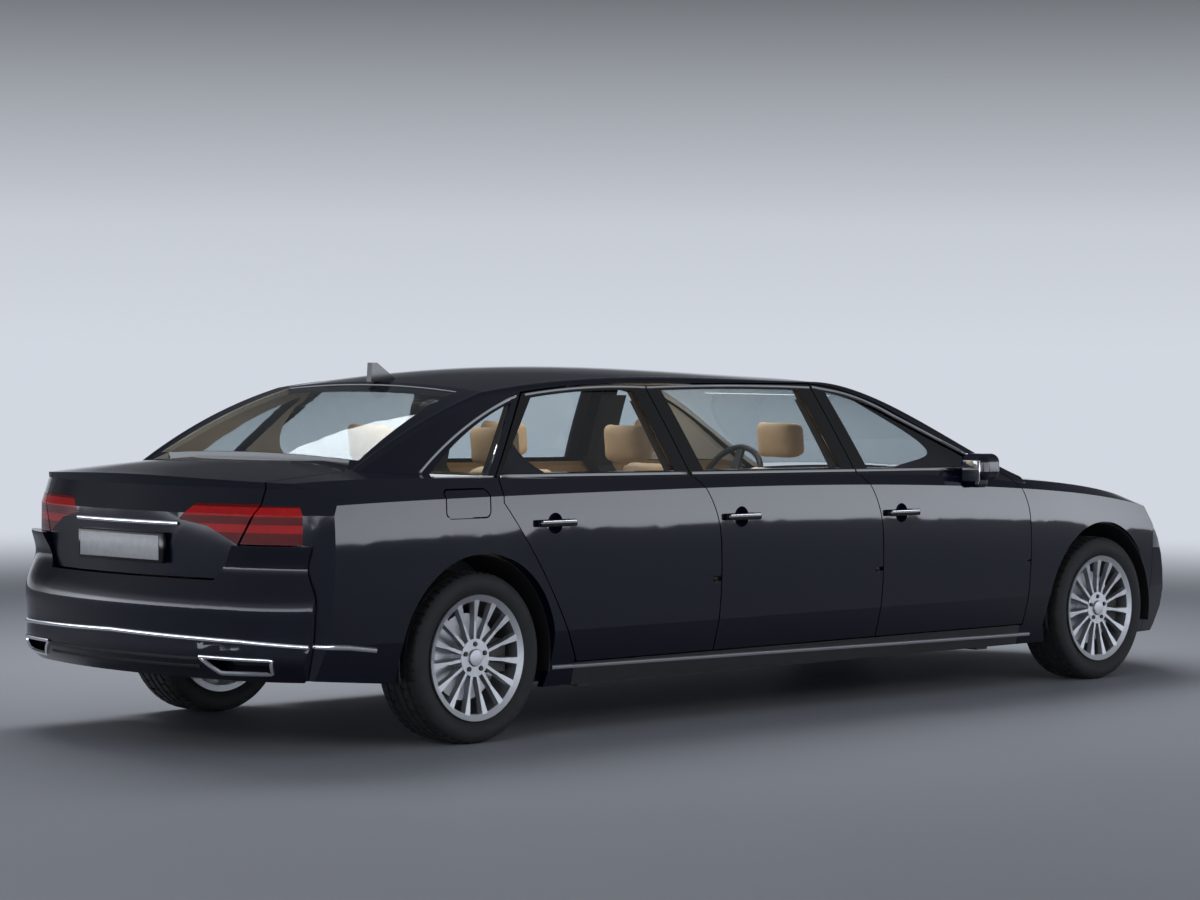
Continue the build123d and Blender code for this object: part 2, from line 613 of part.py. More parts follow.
for x in JACK_PADS_X:
    sill += box(x - JACK_PAD / 2, x + JACK_PAD / 2, -JACK_PAD_Y - JACK_PAD / 2, -JACK_PAD_Y + JACK_PAD / 2,
                SILL_Z - JACK_PAD_DROP, SILL_Z)
add_pair("door_frame", sill)

# Rear quarters, with the fuel flap on the right one
lid_rear = [(-y, z) for y, z in LID_REAR] + [(y, z) for y, z in reversed(LID_REAR)]
lid_rear_hole = [(y + PANEL_GAP * (1 if y > 0 else -1), z - PANEL_GAP) for y, z in lid_rear]
lid_region = lid_plan & rear_view_prism(lid_rear, TAIL_X - 100, LID_FRONT_X + 100)
lid_hole = lid_plan_hole & rear_view_prism(lid_rear_hole, TAIL_X - 100, LID_FRONT_X + 100)
rear_block = box(TAIL_X - 100, CORNER_X + SEAT_GAP, -HALF_WIDTH, HALF_WIDTH, 0, TAIL_LAMP_Z[1] + SEAT_GAP)
quarter = panel_right & box(TAIL_X, sill_ends[0] - 3, -HALF_WIDTH, 0, 0, ROOF_Z)
quarter -= glass_inner & box(LID_FRONT_X, 0, -HALF_WIDTH, 0, 0, ROOF_Z)
quarter = quarter - openings["rear"] - arches[0] - lid_hole - rear_block
bottom_cut = Polyline((CORNER_X, 0, QUARTER_BOTTOM_Z[0]), (REAR_AXLE_X, 0, QUARTER_BOTTOM_Z[1]),
                      (REAR_AXLE_X, 0, 0), (CORNER_X, 0, 0), close=True)
quarter -= Solid.extrude(face_of(bottom_cut.edges()), Vector(0, -HALF_WIDTH, 0))
nodes["quarter_left"] = mirrored(quarter)
flap_box = box(*FLAP_X, -HALF_WIDTH - 50, -HALF_WIDTH + 150, *FLAP_Z)
flap_box = fillet(flap_box.edges().filter_by(Axis.Y), 24)
flap_hole = box(FLAP_X[0] - PANEL_GAP, FLAP_X[1] + PANEL_GAP, -HALF_WIDTH - 50, -HALF_WIDTH + 150,
                FLAP_Z[0] - PANEL_GAP, FLAP_Z[1] + PANEL_GAP)
flap_hole = fillet(flap_hole.edges().filter_by(Axis.Y), 24 + PANEL_GAP)
flap_back = body_loft(FLAP_THICKNESS, FLAP_THICKNESS, 0)
filler = cylinder_y(sum(FLAP_X) / 2 - 20, sum(FLAP_Z) / 2 - 10, FILLER_RADIUS, -HALF_WIDTH, -HALF_WIDTH + 130)
filler &= body_loft(FLAP_THICKNESS + SEAT_GAP, FLAP_THICKNESS + SEAT_GAP, 0)
quarter = quarter - (flap_hole - body_loft(FLAP_POCKET_DEPTH, FLAP_POCKET_DEPTH, 0)) + (filler - panel_inner)
nodes["quarter_right"] = quarter
nodes["fuel_flap"] = (skin & flap_box) - flap_back

# Boot lid, tail lamps and rear bumper
tail_skin = body - (lid_under & end_form(TAIL_X, 1, TAIL_PLAN, TAIL_ROWS, LID_WALL))
lamp_outline = [(-y, z) for y, z in LID_LAMP]
lamp_back = end_form(TAIL_X, 1, TAIL_PLAN, TAIL_ROWS, LAMP_DEPTH)
lamp_seat = end_form(TAIL_X, 1, TAIL_PLAN, TAIL_ROWS, LAMP_DEPTH + SEAT_GAP)
lamp_prism = rear_view_prism(lamp_outline, TAIL_X - 50, CORNER_X) & lid_region
lamp_middle = (sum(y for y, _ in lamp_outline) / 5, sum(z for _, z in lamp_outline) / 5)
lamp_hole_outline = [(y + (y - lamp_middle[0]) * 0.006, z + (z - lamp_middle[1]) * 0.012)
                     for y, z in lamp_outline]
lamp_hole = rear_view_prism(lamp_hole_outline, TAIL_X - 50, CORNER_X) - lamp_seat
lid = (tail_skin & lid_region) - lamp_hole - mirrored(lamp_hole)
nodes["boot_lid"] = lid
lid_lamp = (body & lamp_prism) - lamp_back
nodes["lid_lamps"] = lid_lamp + mirrored(lid_lamp)
tail_lamp = (body & box(TAIL_X - 50, CORNER_X, -HALF_WIDTH, 0, *TAIL_LAMP_Z)) - tail_inner - lid_hole
nodes["tail_lamps"] = tail_lamp + mirrored(tail_lamp)
bumper_inner = body_loft(BUMPER_WALL, 0, 0) & end_form(TAIL_X, 1, BUMPER_PLAN, BUMPER_ROWS, BUMPER_WALL)
bumper = (skin & bumper_form & box(TAIL_X - 50, CORNER_X - 3, -HALF_WIDTH, HALF_WIDTH, BUMPER_BOTTOM_Z,
                                   TAIL_LAMP_Z[0] - 3)) - bumper_inner - lid_hole
exhaust_back = end_form(TAIL_X, 1, BUMPER_PLAN, BUMPER_ROWS, EXHAUST_DEPTH)
exhaust = rear_view_prism([(-y, z) for y, z in EXHAUST], TAIL_X - 50, CORNER_X) - exhaust_back
nodes["rear_bumper"] = bumper - exhaust - mirrored(exhaust)

# Front end: bonnet, fenders, headlamps, bumper and grille
bonnet_plan = plan_prism(both_sides(BONNET_PLAN), BONNET_LIP_Z)
bonnet_hole = plan_prism(both_sides([(BONNET_PLAN[0][0] - PANEL_GAP, BONNET_PLAN[0][1] + PANEL_GAP)]
                                    + [(x, y + PANEL_GAP) for x, y in BONNET_PLAN[1:]]),
                         BONNET_LIP_Z - PANEL_GAP)
nodes["bonnet"] = (body & bonnet_plan) - (lid_under & end_form(NOSE_X, -1, NOSE_PLAN, NOSE_ROWS, LID_WALL))
front_block = box(NOSE_CUT_X, NOSE_X + 50, -HALF_WIDTH, HALF_WIDTH, 0, BONNET_LIP_Z - PANEL_GAP)
fender = panel_right & box(FENDER_CUT_X - 110, NOSE_X, -HALF_WIDTH, 0, 0, ROOF_Z)
fender -= box(0, COWL_X, -HALF_WIDTH + DOOR_WALL, 0, 0, ROOF_Z)
fender -= box(0, sill_ends[1] + 3, -HALF_WIDTH, 0, 0, sill_top)
add_pair("fender", fender - openings["front"] - arches[1] - bonnet_hole - front_block)
lamp_front = rear_view_prism([(-y, z) for y, z in HEADLAMP], NOSE_CUT_X + 3, NOSE_X + 50)
lamp_front_outline = [(-y + SEAT_GAP * 1.5 * (1 if y < 700 else -1), z + SEAT_GAP * (1 if z > 680 else -1))
                      for y, z in HEADLAMP]
lamp_front_hole = rear_view_prism(lamp_front_outline, NOSE_CUT_X, NOSE_X + 50)
headlamp = panel_shell & lamp_front
nodes["headlamps"] = headlamp + mirrored(headlamp)
grille_box = box(FRONT_AXLE_X, NOSE_X + 50, -GRILLE_HALF_WIDTH, GRILLE_HALF_WIDTH, *GRILLE_Z)
grille_hole = box(FRONT_AXLE_X, NOSE_X + 50, -GRILLE_HALF_WIDTH - SEAT_GAP, GRILLE_HALF_WIDTH + SEAT_GAP,
                  GRILLE_Z[0] - SEAT_GAP, GRILLE_Z[1] + SEAT_GAP)
nodes["front_bumper"] = (panel_shell & box(NOSE_CUT_X + 3, NOSE_X + 50, -HALF_WIDTH, HALF_WIDTH, SILL_Z,
                                           BONNET_LIP_Z - PANEL_GAP - 3)
                         - lamp_front_hole - mirrored(lamp_front_hole) - grille_hole)
window = box(FRONT_AXLE_X, NOSE_X + 50, -GRILLE_HALF_WIDTH + GRILLE_FRAME, GRILLE_HALF_WIDTH - GRILLE_FRAME,
             GRILLE_Z[0] + GRILLE_FRAME, GRILLE_Z[1] - GRILLE_FRAME)
grille = (panel_shell & grille_box) - window
bar_pitch = (GRILLE_Z[1] - GRILLE_Z[0] - 2 * GRILLE_FRAME) / GRILLE_BARS
bar_form = body & grille_box
for i in range(GRILLE_BARS):
    z = GRILLE_Z[0] + GRILLE_FRAME + (i + 0.5) * bar_pitch
    grille += (bar_form - panel_inner) & box(FRONT_AXLE_X, NOSE_X, -GRILLE_HALF_WIDTH, GRILLE_HALF_WIDTH,
                                             z - GRILLE_BAR / 2, z + GRILLE_BAR / 2)
nodes["grille"] = grille

# Firewall with the cowl, floor, and the shelf behind the rear seats
cowl = (skin - body_loft(LID_WALL + 40, LID_WALL + 40, 0)) & box(SCREEN_PLAN[-1][0] - 90, COWL_X - PANEL_GAP,
                                                             -COWL_HALF_WIDTH, COWL_HALF_WIDTH,
                                                             GLASS_BASE_Z - 100, ROOF_Z)
ledge = body_loft(LID_WALL + 20, LID_WALL + 20, 0) - body_loft(LID_WALL + 40, LID_WALL + 40, 0)
ledge &= box(SCREEN_BASE_X - 60, FIREWALL_X[1], -HALF_WIDTH + 160, HALF_WIDTH - 160, GLASS_BASE_Z - 120,
             ROOF_Z)
wall = panel_inner & box(*FIREWALL_X, -HALF_WIDTH, HALF_WIDTH, FLOOR_Z - 57, ROOF_Z)
wall += lid_seat & box(*FIREWALL_X, -HALF_WIDTH + 160, HALF_WIDTH - 160, FLOOR_Z, ROOF_Z)
nodes["firewall"] = wall + cowl + ledge - glasshouse
floor = skin & box(KICK_UP_X, FIREWALL_X[0], -FLOOR_HALF_WIDTH, FLOOR_HALF_WIDTH, 0, FLOOR_Z)
floor += box(KICK_UP_X - 30, KICK_UP_X, -WELL_HALF_WIDTH, WELL_HALF_WIDTH, SILL_Z, REAR_FLOOR_Z[1])
boot_floor = panel_inner & box(CORNER_X + 10, KICK_UP_X, -HALF_WIDTH, HALF_WIDTH, *REAR_FLOOR_Z)
boot_floor -= arches[0]
boot_floor -= mirrored(arches[0])
boot_floor &= box(TAIL_X, 0, -HALF_WIDTH, HALF_WIDTH, 0, ROOF_Z)
beam = bumper_inner & box(TAIL_X, CORNER_X + 60, -520, 520, *REAR_FLOOR_Z)
nodes["floor_pan"] = floor + boot_floor + beam
header_x = LID_FRONT_X - 108
shelf = panel_inner & box(header_x, TAIL_X + 1280, -HALF_WIDTH + DOOR_WALL + 20, HALF_WIDTH - DOOR_WALL - 20,
                          BELT_Z - 30, BELT_Z - 10)
shelf += lid_seat & box(header_x, header_x + 40, -550, 550, BELT_Z - 20, ROOF_Z)
shelf += box(REAR_AXLE_X - 265, REAR_AXLE_X - 235, -WELL_HALF_WIDTH, WELL_HALF_WIDTH, REAR_FLOOR_Z[1],
             BELT_Z - 20)
nodes["parcel_shelf"] = shelf

# Seats in three rows, dashboard, steering wheel
for name, row_x in SEAT_ROWS.items():
    profile = Polyline(*[(row_x + x, -SEAT_WIDTH / 2, z) for x, z in SEAT_PROFILE], close=True)
    seat = Solid.extrude(face_of(profile.edges()), Vector(0, SEAT_WIDTH, 0))
    rest = fillet((Pos(row_x, 0, HEADREST_Z) * Box(*HEADREST)).edges(), 40)
    for side in (-1, 1):
        rest += Pos(row_x, side * 70, HEADREST_Z - 110) * Cylinder(HEADREST_POST_RADIUS, 120)
    one = seat + rest
    nodes[name] = Pos(0, -SEAT_Y, 0) * one + Pos(0, SEAT_Y, 0) * one
dash_x = FIREWALL_X[0] - DASH_DEPTH
dash_outline = Polyline(*[(dash_x + x, -DASH_HALF_WIDTH, z) for x, z in DASH_PROFILE], close=True)
dash = Solid.extrude(face_of(dash_outline.edges()), Vector(0, 2 * DASH_HALF_WIDTH, 0))
nodes["dashboard"] = dash
rim_radius, rim_section = WHEEL_RIM
steering = Torus(rim_radius, rim_section) + Cylinder(62, 40)
for turn in (0, 180, 270):
    steering += Rot(Z=turn) * box(0, rim_radius, -20, 20, -9, 9)
steering += Pos(0, 0, -160) * Cylinder(COLUMN_RADIUS, 330)
nodes["steering_wheel"] = Pos(*WHEEL_AT) * Rot(Y=-90 + WHEEL_TILT) * steering - dash

# Engine, front subframe with its arms, knuckles and rear axle
kingpin_y = TRACK / 2 - KINGPIN_INSET
engine_length, engine_width, engine_height = ENGINE
engine_x = FRONT_AXLE_X - 40
nodes["engine"] = box(engine_x - engine_length / 2, engine_x + engine_length / 2, -engine_width / 2,
                      engine_width / 2, CROSSMEMBER_Z[1], CROSSMEMBER_Z[1] + engine_height)
subframe = box(FRONT_AXLE_X - 100, FRONT_AXLE_X + 100, -RAIL_Y[1], RAIL_Y[1], *CROSSMEMBER_Z)
eye_zs = [AXLE_Z + side * (KNUCKLE_HALF_HEIGHT + 6 + ARM_HEIGHT / 2) for side in (-1, 1)]
for side in (-1, 1):
    ys = sorted((side * RAIL_Y[0], side * RAIL_Y[1]))
    subframe += panel_inner & box(FIREWALL_X[1], NOSE_X, *ys, *RAIL_Z)
    subframe += box(FRONT_AXLE_X - 60, FRONT_AXLE_X + 60, *ys, CROSSMEMBER_Z[0], RAIL_Z[1])
    for z in eye_zs:
        arm_ys = sorted((side * (RAIL_Y[1] - 30), side * kingpin_y))
        subframe += box(FRONT_AXLE_X - ARM_HALF_WIDTH, FRONT_AXLE_X + ARM_HALF_WIDTH, *arm_ys,
                        z - ARM_HEIGHT / 2, z + ARM_HEIGHT / 2)
        subframe += Pos(FRONT_AXLE_X, side * kingpin_y, z) * Cylinder(ARM_HALF_WIDTH, ARM_HEIGHT)
    pin_bore = Cylinder(KINGPIN_RADIUS + STUB_CLEARANCE, 2 * AXLE_Z)
    subframe -= Pos(FRONT_AXLE_X, side * kingpin_y, AXLE_Z) * pin_bore
nodes["front_subframe"] = subframe
wheel_y = TRACK / 2


def calliper(x):
    """Brake calliper that straddles the disc ahead of the axle, with its bracket (right side)."""
    near, far = CALLIPER_X
    block = box(x + near, x + far, -wheel_y - DISC_Y[1] - 24, -wheel_y - DISC_Y[0] + 24,
                AXLE_Z - CALLIPER_HALF_HEIGHT, AXLE_Z + CALLIPER_HALF_HEIGHT)
    block -= cylinder_y(x, AXLE_Z, DISC_RADIUS + DISC_GAP, -wheel_y - DISC_Y[1] - DISC_GAP,
                        -wheel_y - DISC_Y[0] + DISC_GAP)
    block &= cylinder_y(x, AXLE_Z, RIM_SEAT_RADIUS - RIM_WALL - 8, -wheel_y - 200, -wheel_y + 200)
    bracket = box(x, x + far - 30, -wheel_y - DISC_Y[0] + 8, -wheel_y - DISC_Y[0] + 24, AXLE_Z - 28,
                  AXLE_Z + 28)
    return block + bracket


stub = cylinder_y(0, AXLE_Z, STUB_RADIUS, -wheel_y - 92, -wheel_y + 30)
knuckle = Pos(FRONT_AXLE_X, 0, 0) * stub + calliper(FRONT_AXLE_X)
knuckle += Pos(FRONT_AXLE_X, -kingpin_y, AXLE_Z) * Cylinder(30, 2 * KNUCKLE_HALF_HEIGHT)
kingpin_length = 2 * (KNUCKLE_HALF_HEIGHT + 6 + ARM_HEIGHT)
knuckle += Pos(FRONT_AXLE_X, -kingpin_y, AXLE_Z) * Cylinder(KINGPIN_RADIUS, kingpin_length)
add_pair("knuckle", knuckle)
half_axle = Pos(REAR_AXLE_X, 0, 0) * stub + calliper(REAR_AXLE_X)
half_axle += cylinder_y(REAR_AXLE_X, AXLE_Z, 45, -wheel_y + 10, 0)
half_axle += box(REAR_AXLE_X - 45, REAR_AXLE_X + 45, -560, -500, AXLE_Z, REAR_FLOOR_Z[0])
nodes["rear_axle"] = half_axle + mirrored(half_axle)


def revolved(points):
    """Solid of revolution about the wheel's own axis from (offset outboard, radius) points, right side."""
    outline = Polyline(*[(0, -y, r) for y, r in points], close=True)
    return revolve(face_of(outline.edges()), Axis.Y)


def spoke(turn):
    """One spoke, thin at the waist, from the hub out to the rim."""
    stations = [(HUB_RADIUS - 12, 20, 66, 96), (150, 17, 74, 98), (RIM_SEAT_RADIUS - 4, 40, 84, 108)]
    sections = []
    for radius, width, inner, outer in stations:
        corners = [(-width / 2, inner), (width / 2, inner), (width * 0.36, outer), (-width * 0.36, outer)]
        outline = Polyline(*[(x, -y, radius) for x, y in corners], close=True)
        sections.append(face_of(outline.edges()))
    return Rot(Y=turn) * loft(sections, ruled=True)


half_rim = RIM_WIDTH / 2
seat_y = half_rim - 12
inner_radius = RIM_SEAT_RADIUS - RIM_WALL
rim = revolved([(-half_rim, inner_radius), (-half_rim, RIM_LIP_RADIUS), (-seat_y - 4, RIM_LIP_RADIUS),
                (-seat_y, RIM_SEAT_RADIUS), (seat_y, RIM_SEAT_RADIUS), (seat_y + 4, RIM_LIP_RADIUS),
                (half_rim, RIM_LIP_RADIUS), (half_rim - 10, inner_radius)])
bore = STUB_RADIUS + STUB_CLEARANCE
rim += revolved([(DISC_Y[0], bore), (DISC_Y[0], DISC_RADIUS), (DISC_Y[1], DISC_RADIUS),
                 (DISC_Y[1], HUB_RADIUS), (98, HUB_RADIUS), (98, bore)])
for i in range(SPOKES):
    rim += spoke(360 / SPOKES * i)
for i in range(LUG_COUNT):
    turn = 360 / LUG_COUNT * i
    rim -= Rot(Y=turn) * (Pos(0, -90, LUG_CIRCLE / 2) * Rot(X=90) * Cylinder(LUG_HOLE_RADIUS, 30))
bead_y = seat_y - SEAT_GAP
tyre_half = TYRE_WIDTH / 2
wall_radius = (RIM_LIP_RADIUS + TYRE_RADIUS) / 2 - 5.3
bead_radius = RIM_SEAT_RADIUS + SEAT_GAP
heel_radius = RIM_LIP_RADIUS + 4
tyre = revolved([(-bead_y, bead_radius), (-bead_y, heel_radius), (-tyre_half, wall_radius),
                 (-tyre_half + TYRE_SHOULDER, TYRE_RADIUS), (tyre_half - TYRE_SHOULDER, TYRE_RADIUS),
                 (tyre_half, wall_radius), (bead_y, heel_radius), (bead_y, bead_radius)])
for end, x in (("front", FRONT_AXLE_X), ("rear", REAR_AXLE_X)):
    add_pair(end + "_rim", Pos(x, -wheel_y, AXLE_Z) * rim)
    add_pair(end + "_tyre", Pos(x, -wheel_y, AXLE_Z) * tyre)

# Antenna fin on the roof
fin = Polyline(*[(TAIL_X + x, -FIN_THICKNESS / 2, ROOF_Z + z) for x, z in FIN_PROFILE], close=True)
nodes["antenna_fin"] = Solid.extrude(face_of(fin.edges()), Vector(0, FIN_THICKNESS, 0)) - glasshouse

os.makedirs("parts", exist_ok=True)
for name, solid in nodes.items():
    export_step(solid, f"parts/{name}.step")
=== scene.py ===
import math
import bpy
from mathutils import Matrix, Vector
from mathutils.bvhtree import BVHTree


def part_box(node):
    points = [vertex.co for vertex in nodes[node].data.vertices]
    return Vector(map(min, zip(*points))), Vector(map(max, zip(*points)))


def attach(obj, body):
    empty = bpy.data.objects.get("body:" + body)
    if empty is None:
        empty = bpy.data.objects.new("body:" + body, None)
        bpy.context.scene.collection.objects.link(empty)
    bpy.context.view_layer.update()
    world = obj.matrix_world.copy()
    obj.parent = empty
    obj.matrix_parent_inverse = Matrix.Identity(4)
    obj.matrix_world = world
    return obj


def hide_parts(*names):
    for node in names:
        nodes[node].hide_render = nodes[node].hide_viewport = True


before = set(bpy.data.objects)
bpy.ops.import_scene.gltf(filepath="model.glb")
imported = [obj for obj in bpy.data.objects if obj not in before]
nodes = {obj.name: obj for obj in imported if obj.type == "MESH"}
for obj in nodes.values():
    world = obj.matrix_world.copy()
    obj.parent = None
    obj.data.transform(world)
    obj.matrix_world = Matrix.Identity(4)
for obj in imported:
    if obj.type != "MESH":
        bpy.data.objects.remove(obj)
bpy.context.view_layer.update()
scene = bpy.context.scene
SIDES = {"right": -1, "left": 1}
DOORS = ("front", "middle", "rear")
MIRROR_BODY = "front_door_assembly_{}"


# Materials

class Finish:
    """A node material with one Principled shader, and short calls for the nodes that feed it."""

    def __init__(self, name, color, roughness, metallic=0.0, coat=0.0, coat_roughness=0.03, specular=0.5):
        self.material = bpy.data.materials.new(name)
        self.material.use_nodes = True
        self.tree = self.material.node_tree
        self.shader = self.tree.nodes["Principled BSDF"]
        self.output = self.tree.nodes["Material Output"]
        self.set("Base Color", (*color, 1.0))
        self.set("Roughness", roughness)
        self.set("Metallic", metallic)
        self.set("Coat Weight", coat)
        self.set("Coat Roughness", coat_roughness)
        self.set("Specular IOR Level", specular)
        self.coords = self.node("ShaderNodeTexCoord").outputs["Object"]

    def set(self, socket, value):
        self.shader.inputs[socket].default_value = value

    def node(self, kind, **sockets):
        made = self.tree.nodes.new(kind)
        for socket, value in sockets.items():
            made.inputs[socket.replace("_", " ")].default_value = value
        return made

    def link(self, start, end):
        self.tree.links.new(start, end)

    def noise(self, scale, detail=3.0, roughness=0.5):
        made = self.node("ShaderNodeTexNoise", Scale=scale, Detail=detail, Roughness=roughness)
        self.link(self.coords, made.inputs["Vector"])
        return made.outputs["Fac"]

    def cells(self, scale, feature="DISTANCE_TO_EDGE"):
        made = self.node("ShaderNodeTexVoronoi", Scale=scale)
        made.feature = feature
        self.link(self.coords, made.inputs["Vector"])
        return made.outputs["Distance"]

    def axis(self, name):
        made = self.node("ShaderNodeSeparateXYZ")
        self.link(self.coords, made.inputs["Vector"])
        return made.outputs[name]

    def normal_axis(self, name):
        """One axis of the normal in the piece's own frame, so that a lining stays put on an open door."""
        own = self.node("ShaderNodeVectorTransform")
        own.vector_type, own.convert_from, own.convert_to = "NORMAL", "WORLD", "OBJECT"
        self.link(self.node("ShaderNodeNewGeometry").outputs["Normal"], own.inputs["Vector"])
        made = self.node("ShaderNodeSeparateXYZ")
        self.link(own.outputs["Vector"], made.inputs["Vector"])
        return made.outputs[name]

    def within(self, value, low, high):
        """1 where a value lies between two limits, else 0."""
        over = self.math("GREATER_THAN", value, low)
        return self.math("MULTIPLY", over, self.math("LESS_THAN", value, high))

    def math(self, operation, a, b=0.0):
        made = self.tree.nodes.new("ShaderNodeMath")
        made.operation = operation
        for socket, value in zip(made.inputs, (a, b)):
            if isinstance(value, (int, float)):
                socket.default_value = value
            else:
                self.link(value, socket)
        return made.outputs[0]

    def spread(self, value, low, high, to_low, to_high):
        made = self.node("ShaderNodeMapRange")
        for socket, number in zip(("From Min", "From Max", "To Min", "To Max"), (low, high, to_low, to_high)):
            made.inputs[socket].default_value = number
        self.link(value, made.inputs["Value"])
        return made.outputs["Result"]

    def mix(self, factor, a, b):
        made = self.tree.nodes.new("ShaderNodeMix")
        made.data_type = "RGBA"
        self.link(factor, made.inputs[0])
        for socket, value in ((made.inputs[6], a), (made.inputs[7], b)):
            if isinstance(value, tuple):
                socket.default_value = (*value, 1.0)
            else:
                self.link(value, socket)
        return made.outputs[2]

    def color(self, value):
        self.link(value, self.shader.inputs["Base Color"])
        return self

    def feed(self, socket, value):
        self.link(value, self.shader.inputs[socket])
        return self

    def bump(self, height, strength, distance):
        made = self.node("ShaderNodeBump", Strength=strength, Distance=distance)
        self.link(height, made.inputs["Height"])
        self.link(made.outputs["Normal"], self.shader.inputs["Normal"])
        return self


PAINT = (0.0022, 0.0034, 0.0125)
PIANO_BLACK = (0.004, 0.004, 0.005)
# Heights of the brighter bands on the red lamp lens: painted glow of the light guides
PAINTED_GLOW_BARS = ((0.948, 0.984), (0.884, 0.916))
HEADLINER = (0.52, 0.47, 0.40)
DOOR_CARD = (0.30, 0.19, 0.10)
BELT_SLOPE = 0.0093
BELT_LEVEL = 1.0625
CABIN_X = (-1.95, 1.60)
CABIN_FLOOR_Z = 0.33
HEADLINER_Y = 0.58
CARD_FACE = -0.62
HEADLINER_FACE = -0.50
PILLAR_FACE = -0.40


def shaded(color, factor):
    return tuple(min(1.0, c * factor) for c in color)


def paint_finish(name, door_frames=False, lining=None, headlining=None):
    """Midnight-blue paint under clear coat, with black door frames above the belt and lined cabin faces."""
    f = Finish(name, PAINT, 0.30, coat=1.0, coat_roughness=0.04, specular=0.06)
    f.set("Coat IOR", 1.4)
    flakes = f.spread(f.cells(2600.0, "F1"), 0.0, 0.9, 0.0, 1.0)
    shade = f.mix(flakes, (0.0016, 0.0025, 0.0095), (0.0034, 0.0050, 0.0180))
    if lining or headlining:
        inward = f.math("MULTIPLY", f.axis("Y"), f.normal_axis("Y"))
        if lining:
            faces = f.math("LESS_THAN", inward, CARD_FACE)
            faces = f.math("MULTIPLY", faces, f.within(f.axis("X"), *CABIN_X))
            faces = f.math("MULTIPLY", faces, f.math("GREATER_THAN", f.axis("Z"), CABIN_FLOOR_Z))
        else:
            under = f.math("LESS_THAN", f.normal_axis("Z"), HEADLINER_FACE)
            under = f.math("MULTIPLY", under, f.within(f.axis("Y"), -HEADLINER_Y, HEADLINER_Y))
            faces = f.math("MAXIMUM", under, f.math("LESS_THAN", inward, PILLAR_FACE))
        shade = f.mix(faces, shade, lining or headlining)
        f.feed("Roughness", f.spread(faces, 0.0, 1.0, 0.30, 0.85))
        f.feed("Coat Weight", f.spread(faces, 0.0, 1.0, 1.0, 0.0))
    if door_frames:
        above = f.math("ADD", f.axis("Z"), f.math("MULTIPLY", f.axis("X"), BELT_SLOPE))
        shade = f.mix(f.math("GREATER_THAN", above, BELT_LEVEL), shade, PIANO_BLACK)
    f.color(shade)
    f.bump(f.noise(160.0, 1.0), 0.02, 0.0002)
    return f.material


def chrome_finish(name, color, roughness):
    f = Finish(name, color, roughness, metallic=1.0)
    f.feed("Roughness", f.spread(f.noise(60.0), 0.3, 0.7, roughness * 0.8, roughness * 1.3))
    return f.material


def plastic_finish(name, color, roughness, grain=1400.0, depth=0.12):
    f = Finish(name, color, roughness)
    f.color(f.mix(f.noise(38.0), shaded(color, 0.82), shaded(color, 1.15)))
    f.bump(f.cells(grain), depth, 0.0004)
    return f.material


def glass_finish(name, tint):
    """Tinted glazing that lets lamp light through to the cabin."""
    f = Finish(name, tint, 0.0)
    f.set("Transmission Weight", 1.0)
    f.set("IOR", 1.45)
    clear = f.node("ShaderNodeBsdfTransparent")
    clear.inputs["Color"].default_value = (*[0.5 + 0.5 * c for c in tint], 1.0)
    path = f.node("ShaderNodeLightPath")
    join = f.node("ShaderNodeMixShader")
    f.link(path.outputs["Is Shadow Ray"], join.inputs[0])
    f.link(f.shader.outputs[0], join.inputs[1])
    f.link(clear.outputs[0], join.inputs[2])
    f.link(join.outputs[0], f.output.inputs["Surface"])
    f.feed("Roughness", f.spread(f.noise(5.0), 0.2, 0.8, 0.0, 0.012))
    return f.material


def leather_finish(name, color):
    f = Finish(name, color, 0.5)
    f.color(f.mix(f.noise(14.0, 5.0), shaded(color, 0.86), shaded(color, 1.12)))
    f.feed("Roughness", f.spread(f.noise(120.0), 0.3, 0.7, 0.42, 0.6))
    f.bump(f.cells(420.0), 0.25, 0.0012)
    return f.material


def rubber_finish(name):
    f = Finish(name, (0.013, 0.013, 0.014), 0.72)
    f.color(f.mix(f.noise(30.0, 4.0), (0.010, 0.010, 0.011), (0.022, 0.022, 0.023)))
    f.bump(f.noise(700.0, 2.0), 0.2, 0.0006)
    return f.material


def alloy_finish(name):
    f = Finish(name, (0.46, 0.47, 0.49), 0.40, metallic=0.85)
    f.color(f.mix(f.noise(90.0), (0.43, 0.44, 0.46), (0.50, 0.51, 0.53)))
    f.bump(f.noise(1500.0, 1.0), 0.03, 0.0003)
    return f.material


def iron_finish(name):
    f = Finish(name, (0.07, 0.07, 0.075), 0.6, metallic=0.6)
    f.color(f.mix(f.noise(45.0, 5.0), (0.045, 0.045, 0.05), (0.11, 0.105, 0.10)))
    f.bump(f.noise(260.0, 3.0), 0.3, 0.0015)
    return f.material


def lens_finish(name, deep, bright, bars):
    """Red lamp lens: deep red with brighter level bands between the given heights, a painted glow of its
    light guides.
    """
    f = Finish(name, deep, 0.18, specular=0.22)
    lit = f.within(f.axis("Z"), *bars[0])
    for bar in bars[1:]:
        lit = f.math("MAXIMUM", lit, f.within(f.axis("Z"), *bar))
    # Inside the bands the lens is painted brighter red: painted glow
    f.color(f.mix(f.math("MULTIPLY", lit, f.spread(f.noise(35.0), 0.3, 0.7, 0.75, 1.0)), deep, bright))
    f.bump(f.math("SINE", f.math("MULTIPLY", f.axis("Z"), 900.0)), 0.15, 0.001)
    return f.material


def lamp_finish(name):
    f = Finish(name, (0.62, 0.64, 0.67), 0.08, coat=1.0)
    ribs = f.math("SINE", f.math("MULTIPLY", f.axis("Y"), 160.0))
    # Colour goes from dark to light across each rib: painted shade and painted highlight on the ribbed glass
    f.color(f.mix(f.spread(ribs, -0.8, 0.8, 0.0, 1.0), (0.30, 0.32, 0.35), (0.78, 0.80, 0.83)))
    f.bump(ribs, 0.3, 0.002)
    return f.material


